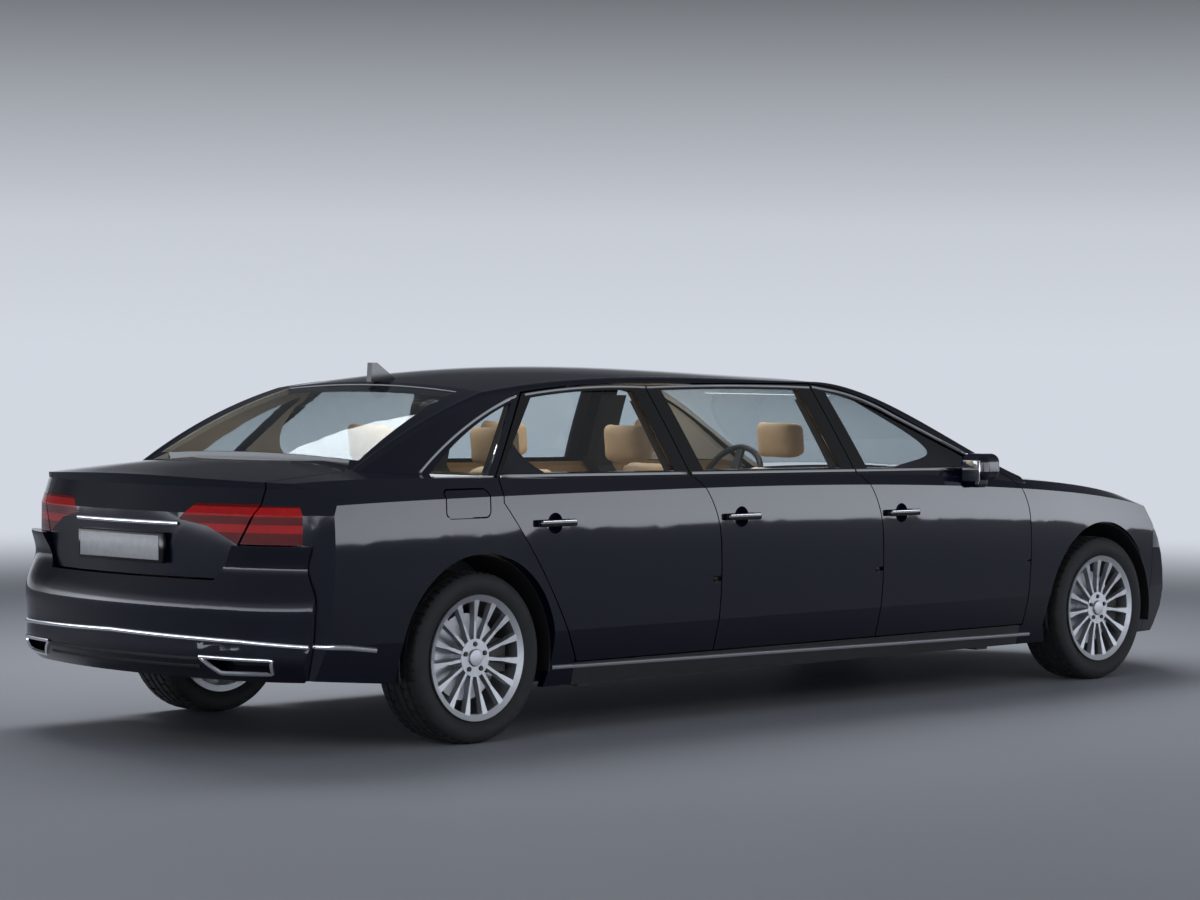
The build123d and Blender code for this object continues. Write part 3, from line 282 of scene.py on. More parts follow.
paint = paint_finish("midnight_blue_paint")
door_paint = paint_finish("door_paint_black_frames", True, DOOR_CARD)
roof_paint = paint_finish("roof_paint_pale_lining", headlining=HEADLINER)
chrome = chrome_finish("bright_chrome", (0.86, 0.87, 0.89), 0.10)
plate_white = plastic_finish("plate_sheet", (0.62, 0.63, 0.65), 0.32, 60.0, 0.01)
black_gloss = plastic_finish("black_gloss_trim", PIANO_BLACK, 0.12, 900.0, 0.01)
black_trim = plastic_finish("black_grained_trim", (0.012, 0.012, 0.013), 0.6)
glass = glass_finish("tinted_glazing", (0.72, 0.78, 0.80))
tan = leather_finish("tan_leather_grain", (0.60, 0.41, 0.24))
tan_trim = plastic_finish("tan_shelf_cloth", (0.56, 0.39, 0.23), 0.85)
rubber = rubber_finish("tyre_rubber_grey_black")
alloy = alloy_finish("silver_alloy")
iron = iron_finish("cast_running_gear")
red_lens = lens_finish("red_lamp_lens", (0.17, 0.003, 0.005), (0.70, 0.014, 0.016), PAINTED_GLOW_BARS)
clear_lens = lamp_finish("ribbed_lamp_lens")


def dress(names, material):
    for name in names:
        node = nodes[name]
        if not node.material_slots:
            node.data.materials.append(material)
        for holder in node.material_slots:
            holder.material = material


dress(["boot_lid", "bonnet", "fuel_flap", "rear_bumper", "front_bumper"], paint)
dress([f"{n}_{s}" for n in ("quarter", "fender", "mirror") for s in SIDES], paint)
dress(["roof"], roof_paint)
dress([f"{d}_door_{s}" for d in DOORS for s in SIDES], door_paint)
dress([f"{d}_door_glass_{s}" for d in DOORS for s in SIDES], glass)
dress([f"quarter_glass_{s}" for s in SIDES] + ["windscreen", "rear_window"], glass)
dress(["antenna_fin"], black_gloss)
dress([f"door_frame_{s}" for s in SIDES], black_trim)
dress(["firewall", "floor_pan", "dashboard", "steering_wheel"], black_trim)
dress(["parcel_shelf"], tan_trim)
dress(["front_seats", "middle_seats", "rear_seats"], tan)
dress([f"{e}_rim_{s}" for e in ("front", "rear") for s in SIDES], alloy)
dress([f"{e}_tyre_{s}" for e in ("front", "rear") for s in SIDES], rubber)
dress(["engine", "front_subframe", "rear_axle", "knuckle_left", "knuckle_right"], iron)
dress(["lid_lamps", "tail_lamps"], red_lens)
dress(["headlamps"], clear_lens)
dress(["grille"], chrome)


# Laying trim on the CAD skin

CREASE = math.radians(35)


def skin_tree(*names):
    """Search tree over the faces of some CAD nodes, in the car's frame."""
    points, faces = [], []
    for name in names:
        mesh = nodes[name].data
        start = len(points)
        place = nodes[name].matrix_world
        points += [place @ v.co for v in mesh.vertices]
        faces += [[start + i for i in p.vertices] for p in mesh.polygons]
    return BVHTree.FromPolygons(points, faces)


def only(obj):
    bpy.ops.object.select_all(action="DESELECT")
    obj.select_set(True)
    bpy.context.view_layer.objects.active = obj
    return obj


def apply_all(obj):
    only(obj)
    for modifier in list(obj.modifiers):
        bpy.ops.object.modifier_apply(modifier=modifier.name)
    return obj


def settle(obj):
    """Puts the piece's place into its mesh and leaves its object at the origin."""
    only(obj)
    bpy.ops.object.transform_apply(location=True, rotation=True, scale=True)
    return obj


def coated(obj, material):
    obj.data.materials.clear()
    obj.data.materials.append(material)
    return only(obj)


def fitted(obj, name, body, material):
    obj.name = name
    obj.data.name = name
    coated(obj, material)
    bpy.ops.object.shade_smooth_by_angle(angle=CREASE)
    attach(obj, body)
    return obj


def bevelled(obj, width, segments=3):
    modifier = obj.modifiers.new("edge", "BEVEL")
    modifier.width = width
    modifier.segments = segments
    modifier.limit_method = "ANGLE"
    modifier.angle_limit = math.radians(30)
    return apply_all(obj)


def rounded_bar(size, place, edge, segments=3):
    """Box with rounded edges, at its size and place."""
    bpy.ops.object.select_all(action="DESELECT")
    bpy.ops.mesh.primitive_cube_add(size=1.0, location=place)
    obj = bpy.context.object
    obj.scale = size
    settle(obj)
    return bevelled(obj, edge, segments)


def copied(obj, name, body, shift=(0, 0, 0), mirror=False, turn=0.0):
    """A copy with its own mesh, turned about Y, mirrored for the other side of the car, and moved."""
    twin = obj.copy()
    twin.data = obj.data.copy()
    twin.parent = None
    twin.matrix_world = Matrix.Identity(4)
    scene.collection.objects.link(twin)
    flip = Matrix.Diagonal((1, -1, 1, 1)) if mirror else Matrix.Identity(4)
    twin.data.transform(Matrix.Translation(shift) @ flip @ Matrix.Rotation(turn, 4, "Y"))
    if mirror:
        twin.data.flip_normals()
    twin.name = name
    twin.data.name = name
    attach(twin, body)
    return twin


def spaced(line, step):
    """Points along a polyline at even steps."""
    lengths = [0.0]
    for a, b in zip(line, line[1:]):
        lengths.append(lengths[-1] + math.dist(a, b))
    count = max(3, round(lengths[-1] / step))
    points, leg = [], 0
    for i in range(count + 1):
        want = lengths[-1] * i / count
        while leg < len(line) - 2 and lengths[leg + 1] < want:
            leg += 1
        share = (want - lengths[leg]) / max(1e-9, lengths[leg + 1] - lengths[leg])
        points.append(tuple(p + (q - p) * share for p, q in zip(line[leg], line[leg + 1])))
    return points


def bow(start, middle, end, count=14):
    """Points of the arc through three points of a plane."""
    (ax, ay), (bx, by), (cx, cy) = start, middle, end
    d = 2 * (ax * (by - cy) + bx * (cy - ay) + cx * (ay - by))
    if abs(d) < 1e-9:
        return [start, middle, end]
    ux = ((ax**2 + ay**2) * (by - cy) + (bx**2 + by**2) * (cy - ay) + (cx**2 + cy**2) * (ay - by)) / d
    uy = ((ax**2 + ay**2) * (cx - bx) + (bx**2 + by**2) * (ax - cx) + (cx**2 + cy**2) * (bx - ax)) / d
    radius = math.hypot(ax - ux, ay - uy)
    first, mid, last = (math.atan2(y - uy, x - ux) for x, y in (start, middle, end))
    turn = (last - first) % math.tau
    if (mid - first) % math.tau > turn:
        turn -= math.tau
    angles = [first + turn * i / count for i in range(count + 1)]
    return [(ux + radius * math.cos(a), uy + radius * math.sin(a)) for a in angles]


def moved_out(line, distance):
    """Polyline moved sideways by a distance, to the left of its run."""
    out = []
    for i, (x, y) in enumerate(line):
        ahead = line[min(i + 1, len(line) - 1)]
        behind = line[max(i - 1, 0)]
        dx, dy = ahead[0] - behind[0], ahead[1] - behind[1]
        length = math.hypot(dx, dy)
        out.append((x - dy / length * distance, y + dx / length * distance))
    return out


def side_rays(line, side, step=0.03):
    """Rays from beside the car onto a line of (x, z) points on its skin, with the way across the line."""
    rays = []
    points = spaced(line, step)
    for i, (x, z) in enumerate(points):
        ahead, behind = points[min(i + 1, len(points) - 1)], points[max(i - 1, 0)]
        along = Vector((ahead[0] - behind[0], 0, ahead[1] - behind[1])).normalized()
        rays.append((Vector((x, side * 2.0, z)), Vector((0, -side, 0)), Vector((-along.z, 0, along.x))))
    return rays


def rear_rays(line, step=0.03):
    """Rays from behind the car onto a line of (y, z) points."""
    rays = []
    points = spaced(line, step)
    for i, (y, z) in enumerate(points):
        ahead, behind = points[min(i + 1, len(points) - 1)], points[max(i - 1, 0)]
        along = Vector((0, ahead[0] - behind[0], ahead[1] - behind[1])).normalized()
        rays.append((Vector((-4.5, y, z)), Vector((1, 0, 0)), Vector((0, -along.z, along.y))))
    return rays


def ribbon(name, rays, tree, width, proud, body, material, sunk=0.002, across=6):
    """Crowned strip laid along the rays' landing points and let a little into the skin."""
    landings = []
    for origin, way, aside in rays:
        place, normal, _, _ = tree.ray_cast(origin, way)
        if place is None:
            continue
        if normal.dot(way) > 0:
            normal = -normal
        landings.append((place, normal, (aside - normal * aside.dot(normal)).normalized()))
    bpy.ops.object.select_all(action="DESELECT")
    bpy.ops.mesh.primitive_grid_add(x_subdivisions=len(landings) - 1, y_subdivisions=across, size=1.0)
    obj = bpy.context.object
    for vertex in obj.data.vertices:
        place, normal, aside = landings[round((vertex.co.x + 0.5) * (len(landings) - 1))]
        share = vertex.co.y * 2
        lift = proud * math.sqrt(max(0.0, 1 - share**4)) - (sunk if abs(share) > 0.99 else 0.0)
        vertex.co = place + aside * (share * width / 2) + normal * lift
    wall = obj.modifiers.new("wall", "SOLIDIFY")
    wall.thickness = sunk + 0.001
    wall.offset = -1.0
    apply_all(obj)
    bpy.ops.object.mode_set(mode="EDIT")
    bpy.ops.mesh.select_all(action="SELECT")
    bpy.ops.mesh.normals_make_consistent(inside=False)
    bpy.ops.object.mode_set(mode="OBJECT")
    return fitted(obj, name, body, material)


def chrome_strip(name, rays, tree, width, proud, body="car_body"):
    return ribbon(name, rays, tree, width, proud, body, chrome)


# Chrome round the windows and along the belt: outlines are (x, z) on the skin

SILL_LEVEL = 1.081
BELT_STRIPS = {"front": (1.345, 0.368), "middle": (0.358, -0.725), "rear": (-0.735, -1.886)}
TOP_STRIPS = {
    "front": [(1.365, 1.053), (0.790, 1.302)] + bow((0.790, 1.302), (0.590, 1.381), (0.375, 1.422))[1:]
             + [(0.294, 1.4335)],
    "middle": bow((0.276, 1.4305), (-0.260, 1.4400), (-0.802, 1.4345)),
    "rear": bow((-0.812, 1.4350), (-1.210, 1.4330), (-1.545, 1.4055)),
}
QUARTER_STRIP = [(-1.572, 1.4030), (-1.640, 1.3890)]
QUARTER_STRIP += bow((-1.640, 1.3880), (-1.990, 1.2440), (-2.225, 1.0990))[1:]
TRIM_WIDTH = 0.017
TRIM_PROUD = 0.0045
WINDOW_STRIP_WIDTH = 0.013
WINDOW_STRIP_SHIFT = -0.014
QUARTER_BELT = (-1.900, -2.238)
SILL_STRIP = [(-1.590, 0.286), (1.660, 0.250)]
SILL_STRIP_WIDTH = 0.020
SILL_STRIP_PROUD = 0.006
BELT_STRIP_DROP = 0.010


def belt_line(ends):
    return [(x, SILL_LEVEL - BELT_SLOPE * x - BELT_STRIP_DROP) for x in ends]


for side_name, side in SIDES.items():
    for door in DOORS:
        body = f"{door}_door_assembly_{side_name}"
        tree = skin_tree(f"{door}_door_{side_name}")
        belt = side_rays(belt_line(BELT_STRIPS[door]), side)
        top = side_rays(moved_out(TOP_STRIPS[door], WINDOW_STRIP_SHIFT), side)
        chrome_strip(f"belt_chrome_{door}_{side_name}", belt, tree, TRIM_WIDTH, TRIM_PROUD, body)
        chrome_strip(f"window_chrome_{door}_{side_name}", top, tree, WINDOW_STRIP_WIDTH, TRIM_PROUD, body)
    tree = skin_tree("roof", f"quarter_{side_name}")
    belt = side_rays(belt_line(QUARTER_BELT), side)
    top = side_rays(moved_out(QUARTER_STRIP, WINDOW_STRIP_SHIFT), side)
    chrome_strip(f"window_chrome_quarter_{side_name}", top, tree, WINDOW_STRIP_WIDTH, TRIM_PROUD)
    chrome_strip(f"belt_chrome_quarter_{side_name}", belt, tree, TRIM_WIDTH, TRIM_PROUD)
    tree = skin_tree(f"door_frame_{side_name}", f"quarter_{side_name}", f"fender_{side_name}")
    sill = side_rays(SILL_STRIP, side)
    chrome_strip(f"sill_chrome_{side_name}", sill, tree, SILL_STRIP_WIDTH, SILL_STRIP_PROUD)

# Chrome across the boot lid and round the rear bumper, and the exhaust frames

LID_STRIP = [(-0.329, 0.911), (0.329, 0.911)]
LID_STRIP_PROUD = 0.006
BUMPER_STRIP_PROUD = 0.005
STRIP_START = -2.584
STRIP_PIVOT = (-2.720, 0.680)
STRIP_Z = (0.415, 0.432, 0.460, 0.473)
CORNER_STEPS = 18
EXHAUST_FRAME = [(0.494, 0.393), (0.805, 0.390), (0.794, 0.336), (0.573, 0.330), (0.494, 0.393)]
EXHAUST_FRAME_WIDTH = 0.013
EXHAUST_FRAME_PROUD = 0.006
# The two bumper grooves get thin black strips laid along them: painted shade in the grooves
GROOVE_Y = 0.485
GROOVE_LEVELS = (0.352, 0.384)
GROOVE_WIDTH = 0.010
GROOVE_PROUD = 0.0012


def bumper_strip_rays():
    """Rays onto the strip's run: along one side, round the corner, across the tail, and back the same way."""
    px, py = STRIP_PIVOT
    rays = []
    for x, z in spaced([(STRIP_START, STRIP_Z[0]), (px, STRIP_Z[1])], 0.03):
        rays.append((Vector((x, -2.0, z)), Vector((0, 1, 0)), Vector((0, 0, 1))))
    for i in range(1, CORNER_STEPS):
        turn = math.radians(270 - 90 / CORNER_STEPS * i)
        out = Vector((math.cos(turn), math.sin(turn), 0))
        z = STRIP_Z[1] + (STRIP_Z[2] - STRIP_Z[1]) * i / CORNER_STEPS
        rays.append((Vector((px, -py, z)) + out * 1.2, -out, Vector((0, 0, 1))))
    for y, z in spaced([(-py, STRIP_Z[2]), (0.0, STRIP_Z[3])], 0.03):
        rays.append((Vector((-4.5, y, z)), Vector((1, 0, 0)), Vector((0, 0, 1))))
    back = [(Vector((o.x, -o.y, o.z)), Vector((w.x, -w.y, w.z)), up) for o, w, up in reversed(rays[:-1])]
    return rays + back


lid_tree = skin_tree("boot_lid")
bumper_tree = skin_tree("rear_bumper")
tail_tree = skin_tree("rear_bumper", "quarter_right", "quarter_left")
chrome_strip("lid_chrome", rear_rays(LID_STRIP), lid_tree, TRIM_WIDTH, LID_STRIP_PROUD, "boot_lid_assembly")
chrome_strip("bumper_chrome", bumper_strip_rays(), tail_tree, TRIM_WIDTH, BUMPER_STRIP_PROUD)
for side_name, side in SIDES.items():
    rays = rear_rays([(side * y, z) for y, z in EXHAUST_FRAME], 0.012)
    chrome_strip(f"exhaust_frame_{side_name}", rays, bumper_tree, EXHAUST_FRAME_WIDTH, EXHAUST_FRAME_PROUD)
# Black strips along the grooves: painted shade
for z in GROOVE_LEVELS:
    rays = rear_rays([(-GROOVE_Y, z), (GROOVE_Y, z)])
    ribbon(f"bumper_groove_painted_shade_{round(z * 1000)}", rays, bumper_tree, GROOVE_WIDTH, GROOVE_PROUD, "car_body",
           black_trim)

# Door handles: a dark cover on each bar with a bright strip along it

HANDLES = {"front": (0.616, 0.872), "middle": (-0.477, 0.886), "rear": (-1.621, 0.893)}
HANDLE_COVER = (0.210, 0.018, 0.030)
HANDLE_COVER_Y = -0.990
HANDLE_STRIP = (0.196, 0.008, 0.007)
HANDLE_STRIP_Y = -0.997
HANDLE_STRIP_LIFT = 0.009
for door, (x, z) in HANDLES.items():
    cover = rounded_bar(HANDLE_COVER, (x, HANDLE_COVER_Y, z), 0.007, 4)
    fitted(cover, f"handle_cover_{door}_right", f"{door}_door_assembly_right", black_gloss)
    copied(cover, f"handle_cover_{door}_left", f"{door}_door_assembly_left", mirror=True)
    strip = rounded_bar(HANDLE_STRIP, (x, HANDLE_STRIP_Y, z + HANDLE_STRIP_LIFT), 0.0025)
    fitted(strip, f"handle_strip_{door}_right", f"{door}_door_assembly_right", chrome)
    copied(strip, f"handle_strip_{door}_left", f"{door}_door_assembly_left", mirror=True)

# Bare number plate in its dark surround: depth, width and height of each, and how far it stands out

PLATE_Z = 0.811
PLATE_SEAT_Z = 0.81
SURROUND_SIZE = (0.022, 0.552, 0.122)
SURROUND_OUT = 0.004
PLATE_SIZE = (0.006, 0.512, 0.098)
PLATE_OUT = 0.0165
plate_x = lid_tree.ray_cast(Vector((-4.5, 0.0, PLATE_SEAT_Z)), Vector((1, 0, 0)))[0].x
surround = rounded_bar(SURROUND_SIZE, (plate_x - SURROUND_OUT, 0.0, PLATE_Z), 0.006)
fitted(surround, "plate_surround", "boot_lid_assembly", black_gloss)
plate = rounded_bar(PLATE_SIZE, (plate_x - PLATE_OUT, 0.0, PLATE_Z), 0.002)
fitted(plate, "plate_blank", "boot_lid_assembly", plate_white)

# Tyres with a grooved tread, and wheel bolts

# Half section of the tyre, (distance from its middle, radius)
TYRE_HALF = [(0.1037, 0.2413), (0.1037, 0.2610), (0.1100, 0.2700), (0.1185, 0.2860), (0.1222, 0.3030),
             (0.1215, 0.3180), (0.1165, 0.3330), (0.1080, 0.3440), (0.0960, 0.3495), (0.0690, 0.3512),
             (0.0670, 0.3445), (0.0590, 0.3445), (0.0570, 0.3515), (0.0270, 0.3520), (0.0250, 0.3450),
             (0.0160, 0.3450), (0.0140, 0.3520)]
TREAD_STEPS = 168
TREAD_CREASE = math.radians(28)
SHOULDER_Y = (0.070, 0.112)
SHOULDER_RADIUS = 0.338
RIB_Y = (0.030, 0.055)
RIB_RADIUS = 0.348
NOTCH_DEPTH = 0.0055
WHEELS = {"front": 2.195, "rear": -2.025}
WHEEL_Y = 0.820
AXLE_Z = 0.352
ACROSS = (math.pi / 2, 0, 0)
BOLT_PLACE = (0, -0.094, 0.056)
BOLTS = 5
CAP_PLACE = (0, -0.100, 0)


def spun_tyre():
    """Tyre about its own middle, axis along Y: its section turned once round, with notches let in."""
    section = [(-y, r) for y, r in TYRE_HALF] + [(y, r) for y, r in reversed(TYRE_HALF)]
    bpy.ops.object.select_all(action="DESELECT")
    bpy.ops.mesh.primitive_circle_add(vertices=len(section), radius=1.0, fill_type="NOTHING")
    obj = bpy.context.object
    order = sorted(obj.data.vertices, key=lambda v: math.atan2(v.co.y, v.co.x))
    for vertex, (y, r) in zip(order, section):
        vertex.co = (0.0, y, r)
    bpy.ops.object.mode_set(mode="EDIT")
    bpy.ops.mesh.select_all(action="SELECT")
    bpy.ops.mesh.spin(steps=TREAD_STEPS, angle=math.tau, center=(0, 0, 0), axis=(0, 1, 0))
    bpy.ops.mesh.select_all(action="SELECT")
    bpy.ops.mesh.remove_doubles(threshold=0.00002)
    bpy.ops.mesh.normals_make_consistent(inside=False)
    bpy.ops.mesh.select_all(action="DESELECT")
    bpy.ops.object.mode_set(mode="OBJECT")
    for polygon in obj.data.polygons:
        radius = math.hypot(polygon.center.x, polygon.center.z)
        turn = math.atan2(polygon.center.x, polygon.center.z) / math.tau * TREAD_STEPS
        off_middle = abs(polygon.center.y)
        on_shoulder = SHOULDER_Y[0] < off_middle < SHOULDER_Y[1] and radius > SHOULDER_RADIUS
        on_rib = RIB_Y[0] < off_middle < RIB_Y[1] and radius > RIB_RADIUS
        step = math.floor(turn + (1 if polygon.center.y > 0 else 0))
        polygon.select = (on_shoulder and step % 3 == 0) or (on_rib and step % 4 == 1)
    bpy.ops.object.mode_set(mode="EDIT")
    bpy.ops.mesh.extrude_region_shrink_fatten(TRANSFORM_OT_shrink_fatten={"value": -NOTCH_DEPTH})
    bpy.ops.mesh.select_all(action="SELECT")
    bpy.ops.mesh.normals_make_consistent(inside=False)
    bpy.ops.object.mode_set(mode="OBJECT")
    return obj


tyre = spun_tyre()
bpy.ops.object.select_all(action="DESELECT")
bpy.ops.mesh.primitive_cylinder_add(vertices=6, radius=0.0105, depth=0.020,
                                    location=BOLT_PLACE, rotation=ACROSS)
bolt = settle(bpy.context.object)
bevelled(bolt, 0.0015, 2)
bpy.ops.object.select_all(action="DESELECT")
bpy.ops.mesh.primitive_cylinder_add(vertices=48, radius=0.036, depth=0.014,
                                    location=CAP_PLACE, rotation=ACROSS)
cap = settle(bpy.context.object)
bevelled(cap, 0.005, 4)
for end, x in WHEELS.items():
    for side_name, side in SIDES.items():
        body = f"{end}_wheel_{side_name}"
        place = (x, side * WHEEL_Y, AXLE_Z)
        left = side > 0
        made = copied(tyre, f"treaded_tyre_{end}_{side_name}", body, place, left)
        coated(made, rubber)
        bpy.ops.object.shade_smooth_by_angle(angle=TREAD_CREASE)
        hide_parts(f"{end}_tyre_{side_name}")
        for i in range(BOLTS):
            turn = math.tau / BOLTS * i
            made = copied(bolt, f"wheel_bolt_{end}_{side_name}_{i}", body, place, left, turn)
            coated(made, iron)
            bpy.ops.object.shade_smooth_by_angle(angle=CREASE)
        made = copied(cap, f"hub_cap_{end}_{side_name}", body, place, left)
        coated(made, alloy)
        bpy.ops.object.shade_smooth_by_angle(angle=CREASE)
for master in (tyre, bolt, cap):
    bpy.data.objects.remove(master)

# Seats: stuffed cushion, back and winged headrest, made once and copied into the three rows

ROWS = {"front_seats": 0.380, "middle_seats": -0.640, "rear_seats": -1.460}
SEAT_Y = 0.400
FOAM_PRESSURE = 4.0
FOAM_FRAMES = 15
WING_START = 0.060
WING_RUN = 0.065
WING_REACH = 0.030


def stuffed(obj, voxel, cap):
    """Swells a closed mesh like foam under its cover, and caps how far any point may move."""
    only(obj)
    obj.data.remesh_voxel_size = voxel
    bpy.ops.object.voxel_remesh()
    rest = [v.co.copy() for v in obj.data.vertices]
    cloth = obj.modifiers.new("foam", "CLOTH")
    cloth.settings.use_pressure = True
    cloth.settings.uniform_pressure_force = FOAM_PRESSURE
    cloth.settings.effector_weights.gravity = 0.0
    cloth.settings.quality = 4
    for step in range(1, FOAM_FRAMES + 1):
        scene.frame_set(step)
    bpy.ops.object.modifier_apply(modifier=cloth.name)
    scene.frame_set(1)
    for vertex, old in zip(obj.data.vertices, rest):
        shift = vertex.co - old
        if shift.length > cap:
            vertex.co = old + shift * (cap / shift.length)
    relax = obj.modifiers.new("relax", "SMOOTH")
    relax.factor = 0.5
    relax.iterations = 4
    return apply_all(obj)


def block(size, place, tilt=0.0, edge=0.03, cuts=4):
    """Rounded block, cut up for shaping, then tilted and put in its place."""
    obj = rounded_bar(size, (0, 0, 0), edge, 4)
    bpy.ops.object.mode_set(mode="EDIT")
    bpy.ops.mesh.select_all(action="SELECT")
    bpy.ops.mesh.subdivide(number_cuts=cuts)
    bpy.ops.object.mode_set(mode="OBJECT")
    obj.rotation_euler = (0.0, tilt, 0.0)
    obj.location = place
    return settle(obj)


cushion = block(size=(0.400, 0.500, 0.125), place=(0.430, 0.0, 0.432), tilt=-0.10)
back = block(size=(0.105, 0.500, 0.610), place=(0.140, 0.0, 0.770), tilt=-0.272)
headrest = block(size=(0.085, 0.250, 0.165), place=(0.010, 0.0, 1.195), tilt=-0.10, edge=0.035)
for vertex in headrest.data.vertices:
    wing = max(0.0, abs(vertex.co.y) - WING_START) / WING_RUN
    vertex.co.x += WING_REACH * wing * wing
stuffed(cushion, voxel=0.011, cap=0.016)
stuffed(back, voxel=0.011, cap=0.014)
stuffed(headrest, voxel=0.008, cap=0.008)
plinth = block(size=(0.470, 0.440, 0.110), place=(0.390, 0.0, 0.318), edge=0.012, cuts=1)
seat_pads = (("cushion", cushion, 0.8), ("back", back, 0.8), ("headrest", headrest, 0.9))
for row, x in ROWS.items():
    for side_name, side in SIDES.items():
        place = (x, side * SEAT_Y, 0)
        for label, master, fill in seat_pads:
            made = copied(master, f"{row}_{label}_{side_name}", "car_body", place)
            coated(made, tan)
            bpy.ops.object.shade_smooth()
            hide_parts(row)
        made = copied(plinth, f"{row}_plinth_{side_name}", "car_body", place)
        coated(made, black_trim)
for master in (cushion, back, headrest, plinth):
    bpy.data.objects.remove(master)


# Dark liners over the wheels, and mirror glass

LINER_RADIUS = 0.422
LINER_DROP = 0.08
LINER_WALL = 0.003
NEAR = 0.001
LINER_Y = {"front": (0.440, 0.925), "rear": (0.640, 0.925)}


def arch_liner(end):
    """Half tube over the right-hand wheel, about its axle, with a wall behind the wheel."""
    inner, outer = LINER_Y[end]
    bpy.ops.object.select_all(action="DESELECT")
    bpy.ops.mesh.primitive_cylinder_add(vertices=72, radius=LINER_RADIUS, depth=outer - inner,
                                        location=(WHEELS[end], -(inner + outer) / 2, AXLE_Z), rotation=ACROSS)
    obj = settle(bpy.context.object)
    bpy.ops.object.mode_set(mode="EDIT")
    bpy.ops.mesh.select_mode(type="FACE")
    bpy.ops.mesh.select_all(action="DESELECT")
    bpy.ops.object.mode_set(mode="OBJECT")
    for polygon in obj.data.polygons:
        polygon.select = polygon.center.y < -outer + NEAR
    bpy.ops.object.mode_set(mode="EDIT")
    bpy.ops.mesh.delete(type="FACE")
    bpy.ops.mesh.select_all(action="SELECT")
    bpy.ops.mesh.bisect(plane_co=(0, 0, AXLE_Z - LINER_DROP), plane_no=(0, 0, 1), clear_inner=True)
    bpy.ops.object.mode_set(mode="OBJECT")
    wall = obj.modifiers.new("wall", "SOLIDIFY")
    wall.thickness = LINER_WALL
    wall.offset = 0.0
    return apply_all(obj)


for end in WHEELS:
    liner = fitted(arch_liner(end), f"arch_liner_{end}_right", "car_body", black_trim)
    copied(liner, f"arch_liner_{end}_left", "car_body", mirror=True)

MIRROR_SHARE = 0.62
MIRROR_GLASS = 0.006
MIRROR_GLASS_OUT = 0.0005
MIRROR_GLASS_SHIFT = 0.006
low, high = (Vector(corner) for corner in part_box("mirror_right"))
middle = (low + high) / 2
mirror_glass = rounded_bar(
    size=(MIRROR_GLASS, (high.y - low.y) * MIRROR_SHARE, (high.z - low.z) * MIRROR_SHARE),
    place=(low.x - MIRROR_GLASS_OUT, middle.y - MIRROR_GLASS_SHIFT, middle.z), edge=0.0025)
fitted(mirror_glass, "mirror_glass_right", MIRROR_BODY.format("right"), chrome)
copied(mirror_glass, "mirror_glass_left", MIRROR_BODY.format("left"), mirror=True)


# Camera, floor and light

CAMERA_PLACE = (-11.68067, -11.20104, 1.62085)
CAMERA_YAW = 0.781120
CAMERA_PITCH = -0.0295522
CAMERA_ROLL = 0.0069136
CAMERA_LENS = 103.81


def aimed(name, place, yaw, pitch, roll, lens):
    """Camera that looks along a heading and a pitch, then rolls about its own axis."""
    ahead = Vector((math.cos(pitch) * math.cos(yaw), math.cos(pitch) * math.sin(yaw), math.sin(pitch)))
    right = ahead.cross(Vector((0, 0, 1))).normalized()
    up = right.cross(ahead)
    turned_right = math.cos(roll) * right + math.sin(roll) * up
    turned_up = -math.sin(roll) * right + math.cos(roll) * up
    data = bpy.data.cameras.new(name)
    data.lens = lens
    data.sensor_width = 36.0
    data.sensor_fit = "HORIZONTAL"
    data.clip_end = 200.0
    camera = bpy.data.objects.new(name, data)
    scene.collection.objects.link(camera)
    turn = Matrix((turned_right, turned_up, -ahead)).transposed()
    camera.matrix_world = Matrix.Translation(place) @ turn.to_4x4()
    return camera


scene.camera = aimed("photo_camera", CAMERA_PLACE, CAMERA_YAW, CAMERA_PITCH, CAMERA_ROLL, CAMERA_LENS)


def soft_lamp(name, place, target, size, power):
    data = bpy.data.lights.new(name, "AREA")
    data.shape = "RECTANGLE"
    data.size, data.size_y = size
    data.energy = power
    lamp = bpy.data.objects.new(name, data)
    scene.collection.objects.link(lamp)
    heading = Vector(target) - Vector(place)
    lamp.matrix_world = Matrix.Translation(place) @ heading.to_track_quat("-Z", "Y").to_matrix().to_4x4()
    lamp.visible_glossy = False
    return lamp


# Each lamp's name, place, aim, width and depth, and power
LAMPS = (
    ("overhead_softbox", (1.2, 2.4, 5.4), (0.2, 0.0, 0.3), (7.5, 2.4), 400.0),
    ("rear_softbox", (-8.5, -3.5, 3.4), (-2.5, -0.4, 0.7), (3.0, 2.0), 60.0),
    ("side_softbox", (0.5, -8.5, 3.6), (0.2, 0.0, 0.6), (7.0, 2.0), 70.0),
    ("cabin_lamp", (-0.3, 0.0, 1.40), (-0.3, 0.0, 0.0), (3.0, 0.8), 14.0),
)
for lamp in LAMPS:
    soft_lamp(*lamp)

COOL = (0.86, 0.91, 1.0)
HORIZON = 0.75
BACKDROP = ((0.0, HORIZON), (0.18, 0.66), (0.52, 0.17), (1.0, 0.07))
BACKDROP_TOP = 0.20
SIDE_BOX = ((0.0, 1.0), (0.045, 0.90), (0.095, 0.18), (0.30, 0.06), (1.0, 0.04))
SIDE_GAIN = 6.0
FILL = 0.26
FLOOR_FADE = (7.0, 15.0)
BACKDROP_WAY = (0.71, 0.70, 0.0)
BACKDROP_EDGE = (0.20, 0.60)


def seen(tree):
    """1 for rays that the camera or clear glass sends, so that both show the same pale backdrop."""
    path = tree.nodes.new("ShaderNodeLightPath")
    either = tree.nodes.new("ShaderNodeMath")
    either.operation = "MAXIMUM"
    tree.links.new(path.outputs["Is Camera Ray"], either.inputs[0])
    tree.links.new(path.outputs["Is Transmission Ray"], either.inputs[1])
    return either.outputs[0], path.outputs["Is Glossy Ray"]


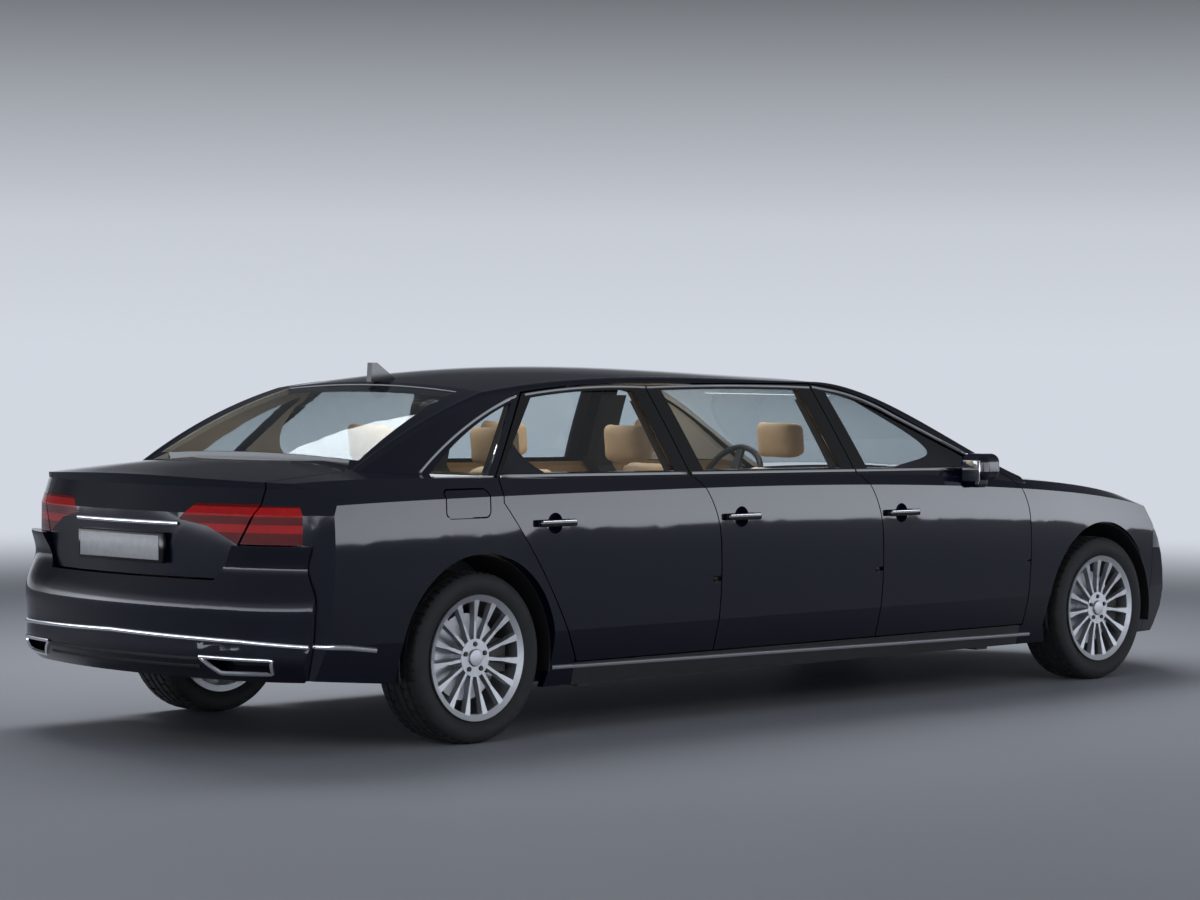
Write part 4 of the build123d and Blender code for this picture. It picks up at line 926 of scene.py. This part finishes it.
bpy.ops.object.select_all(action="DESELECT")
bpy.ops.mesh.primitive_plane_add(size=50.0, location=(0.0, 0.0, 0.0))
floor = bpy.context.object
floor.name = "pale_floor"
ground = Finish("pale_floor_paint", (0.30, 0.315, 0.35), 0.55)
ground.color(ground.mix(ground.noise(0.6), (0.29, 0.305, 0.34), (0.31, 0.325, 0.36)))
reach = ground.node("ShaderNodeVectorMath")
reach.operation = "LENGTH"
ground.link(ground.coords, reach.inputs[0])
fade = ground.node("ShaderNodeMapRange")
fade.interpolation_type = "SMOOTHSTEP"
for socket, number in zip(("From Min", "From Max", "To Min", "To Max"), (*FLOOR_FADE, 0.0, 1.0)):
    fade.inputs[socket].default_value = number
ground.link(reach.outputs["Value"], fade.inputs["Value"])
glow = ground.node("ShaderNodeEmission", Color=(*COOL, 1.0), Strength=HORIZON)
join = ground.node("ShaderNodeMixShader")
ground.link(ground.math("MULTIPLY", fade.outputs["Result"], seen(ground.tree)[0]), join.inputs[0])
ground.link(ground.shader.outputs[0], join.inputs[1])
ground.link(glow.outputs[0], join.inputs[2])
ground.link(join.outputs[0], ground.output.inputs["Surface"])
floor.data.materials.append(ground.material)

world = bpy.data.worlds.new("studio")
scene.world = world
world.use_nodes = True
sky = world.node_tree
sky_back = sky.nodes["Background"]
sky_back.inputs["Color"].default_value = (*COOL, 1.0)
ray_way = sky.nodes.new("ShaderNodeTexCoord")
ray_split = sky.nodes.new("ShaderNodeSeparateXYZ")
sky.links.new(ray_way.outputs["Generated"], ray_split.inputs["Vector"])


def sky_range(value, low, high):
    made = sky.nodes.new("ShaderNodeMapRange")
    made.inputs["From Min"].default_value, made.inputs["From Max"].default_value = low, high
    sky.links.new(value, made.inputs["Value"])
    return made.outputs["Result"]


def sky_steps(value, steps):
    """Brightness by height, from (height, brightness) pairs."""
    made = sky.nodes.new("ShaderNodeValToRGB")
    ramp = made.color_ramp.elements
    while len(ramp) < len(steps):
        ramp.new(0.5)
    for element, (place, level) in zip(ramp, steps):
        element.position = place
        element.color = (level, level, level, 1.0)
    sky.links.new(value, made.inputs["Fac"])
    return made.outputs["Color"]


def sky_mix(factor, a, b):
    made = sky.nodes.new("ShaderNodeMix")
    made.data_type = "FLOAT"
    sky.links.new(factor, made.inputs[0])
    for socket, value in zip((made.inputs[2], made.inputs[3]), (a, b)):
        if isinstance(value, float):
            socket.default_value = value
        else:
            sky.links.new(value, socket)
    return made.outputs[0]


backdrop = sky_steps(sky_range(ray_split.outputs["Z"], 0.0, BACKDROP_TOP), BACKDROP)
brighter = sky.nodes.new("ShaderNodeMath")
brighter.operation = "MULTIPLY"
brighter.inputs[1].default_value = SIDE_GAIN
sky.links.new(sky_steps(ray_split.outputs["Z"], SIDE_BOX), brighter.inputs[0])
side_box = brighter.outputs[0]
heading = sky.nodes.new("ShaderNodeVectorMath")
heading.operation = "DOT_PRODUCT"
heading.inputs[1].default_value = BACKDROP_WAY
sky.links.new(ray_way.outputs["Generated"], heading.inputs[0])
mirrored = sky_mix(sky_range(heading.outputs["Value"], *BACKDROP_EDGE), side_box, backdrop)
direct, glossy = seen(sky)
sky.links.new(sky_mix(direct, sky_mix(glossy, FILL, mirrored), backdrop), sky_back.inputs["Strength"])
scene.view_settings.view_transform = "Standard"
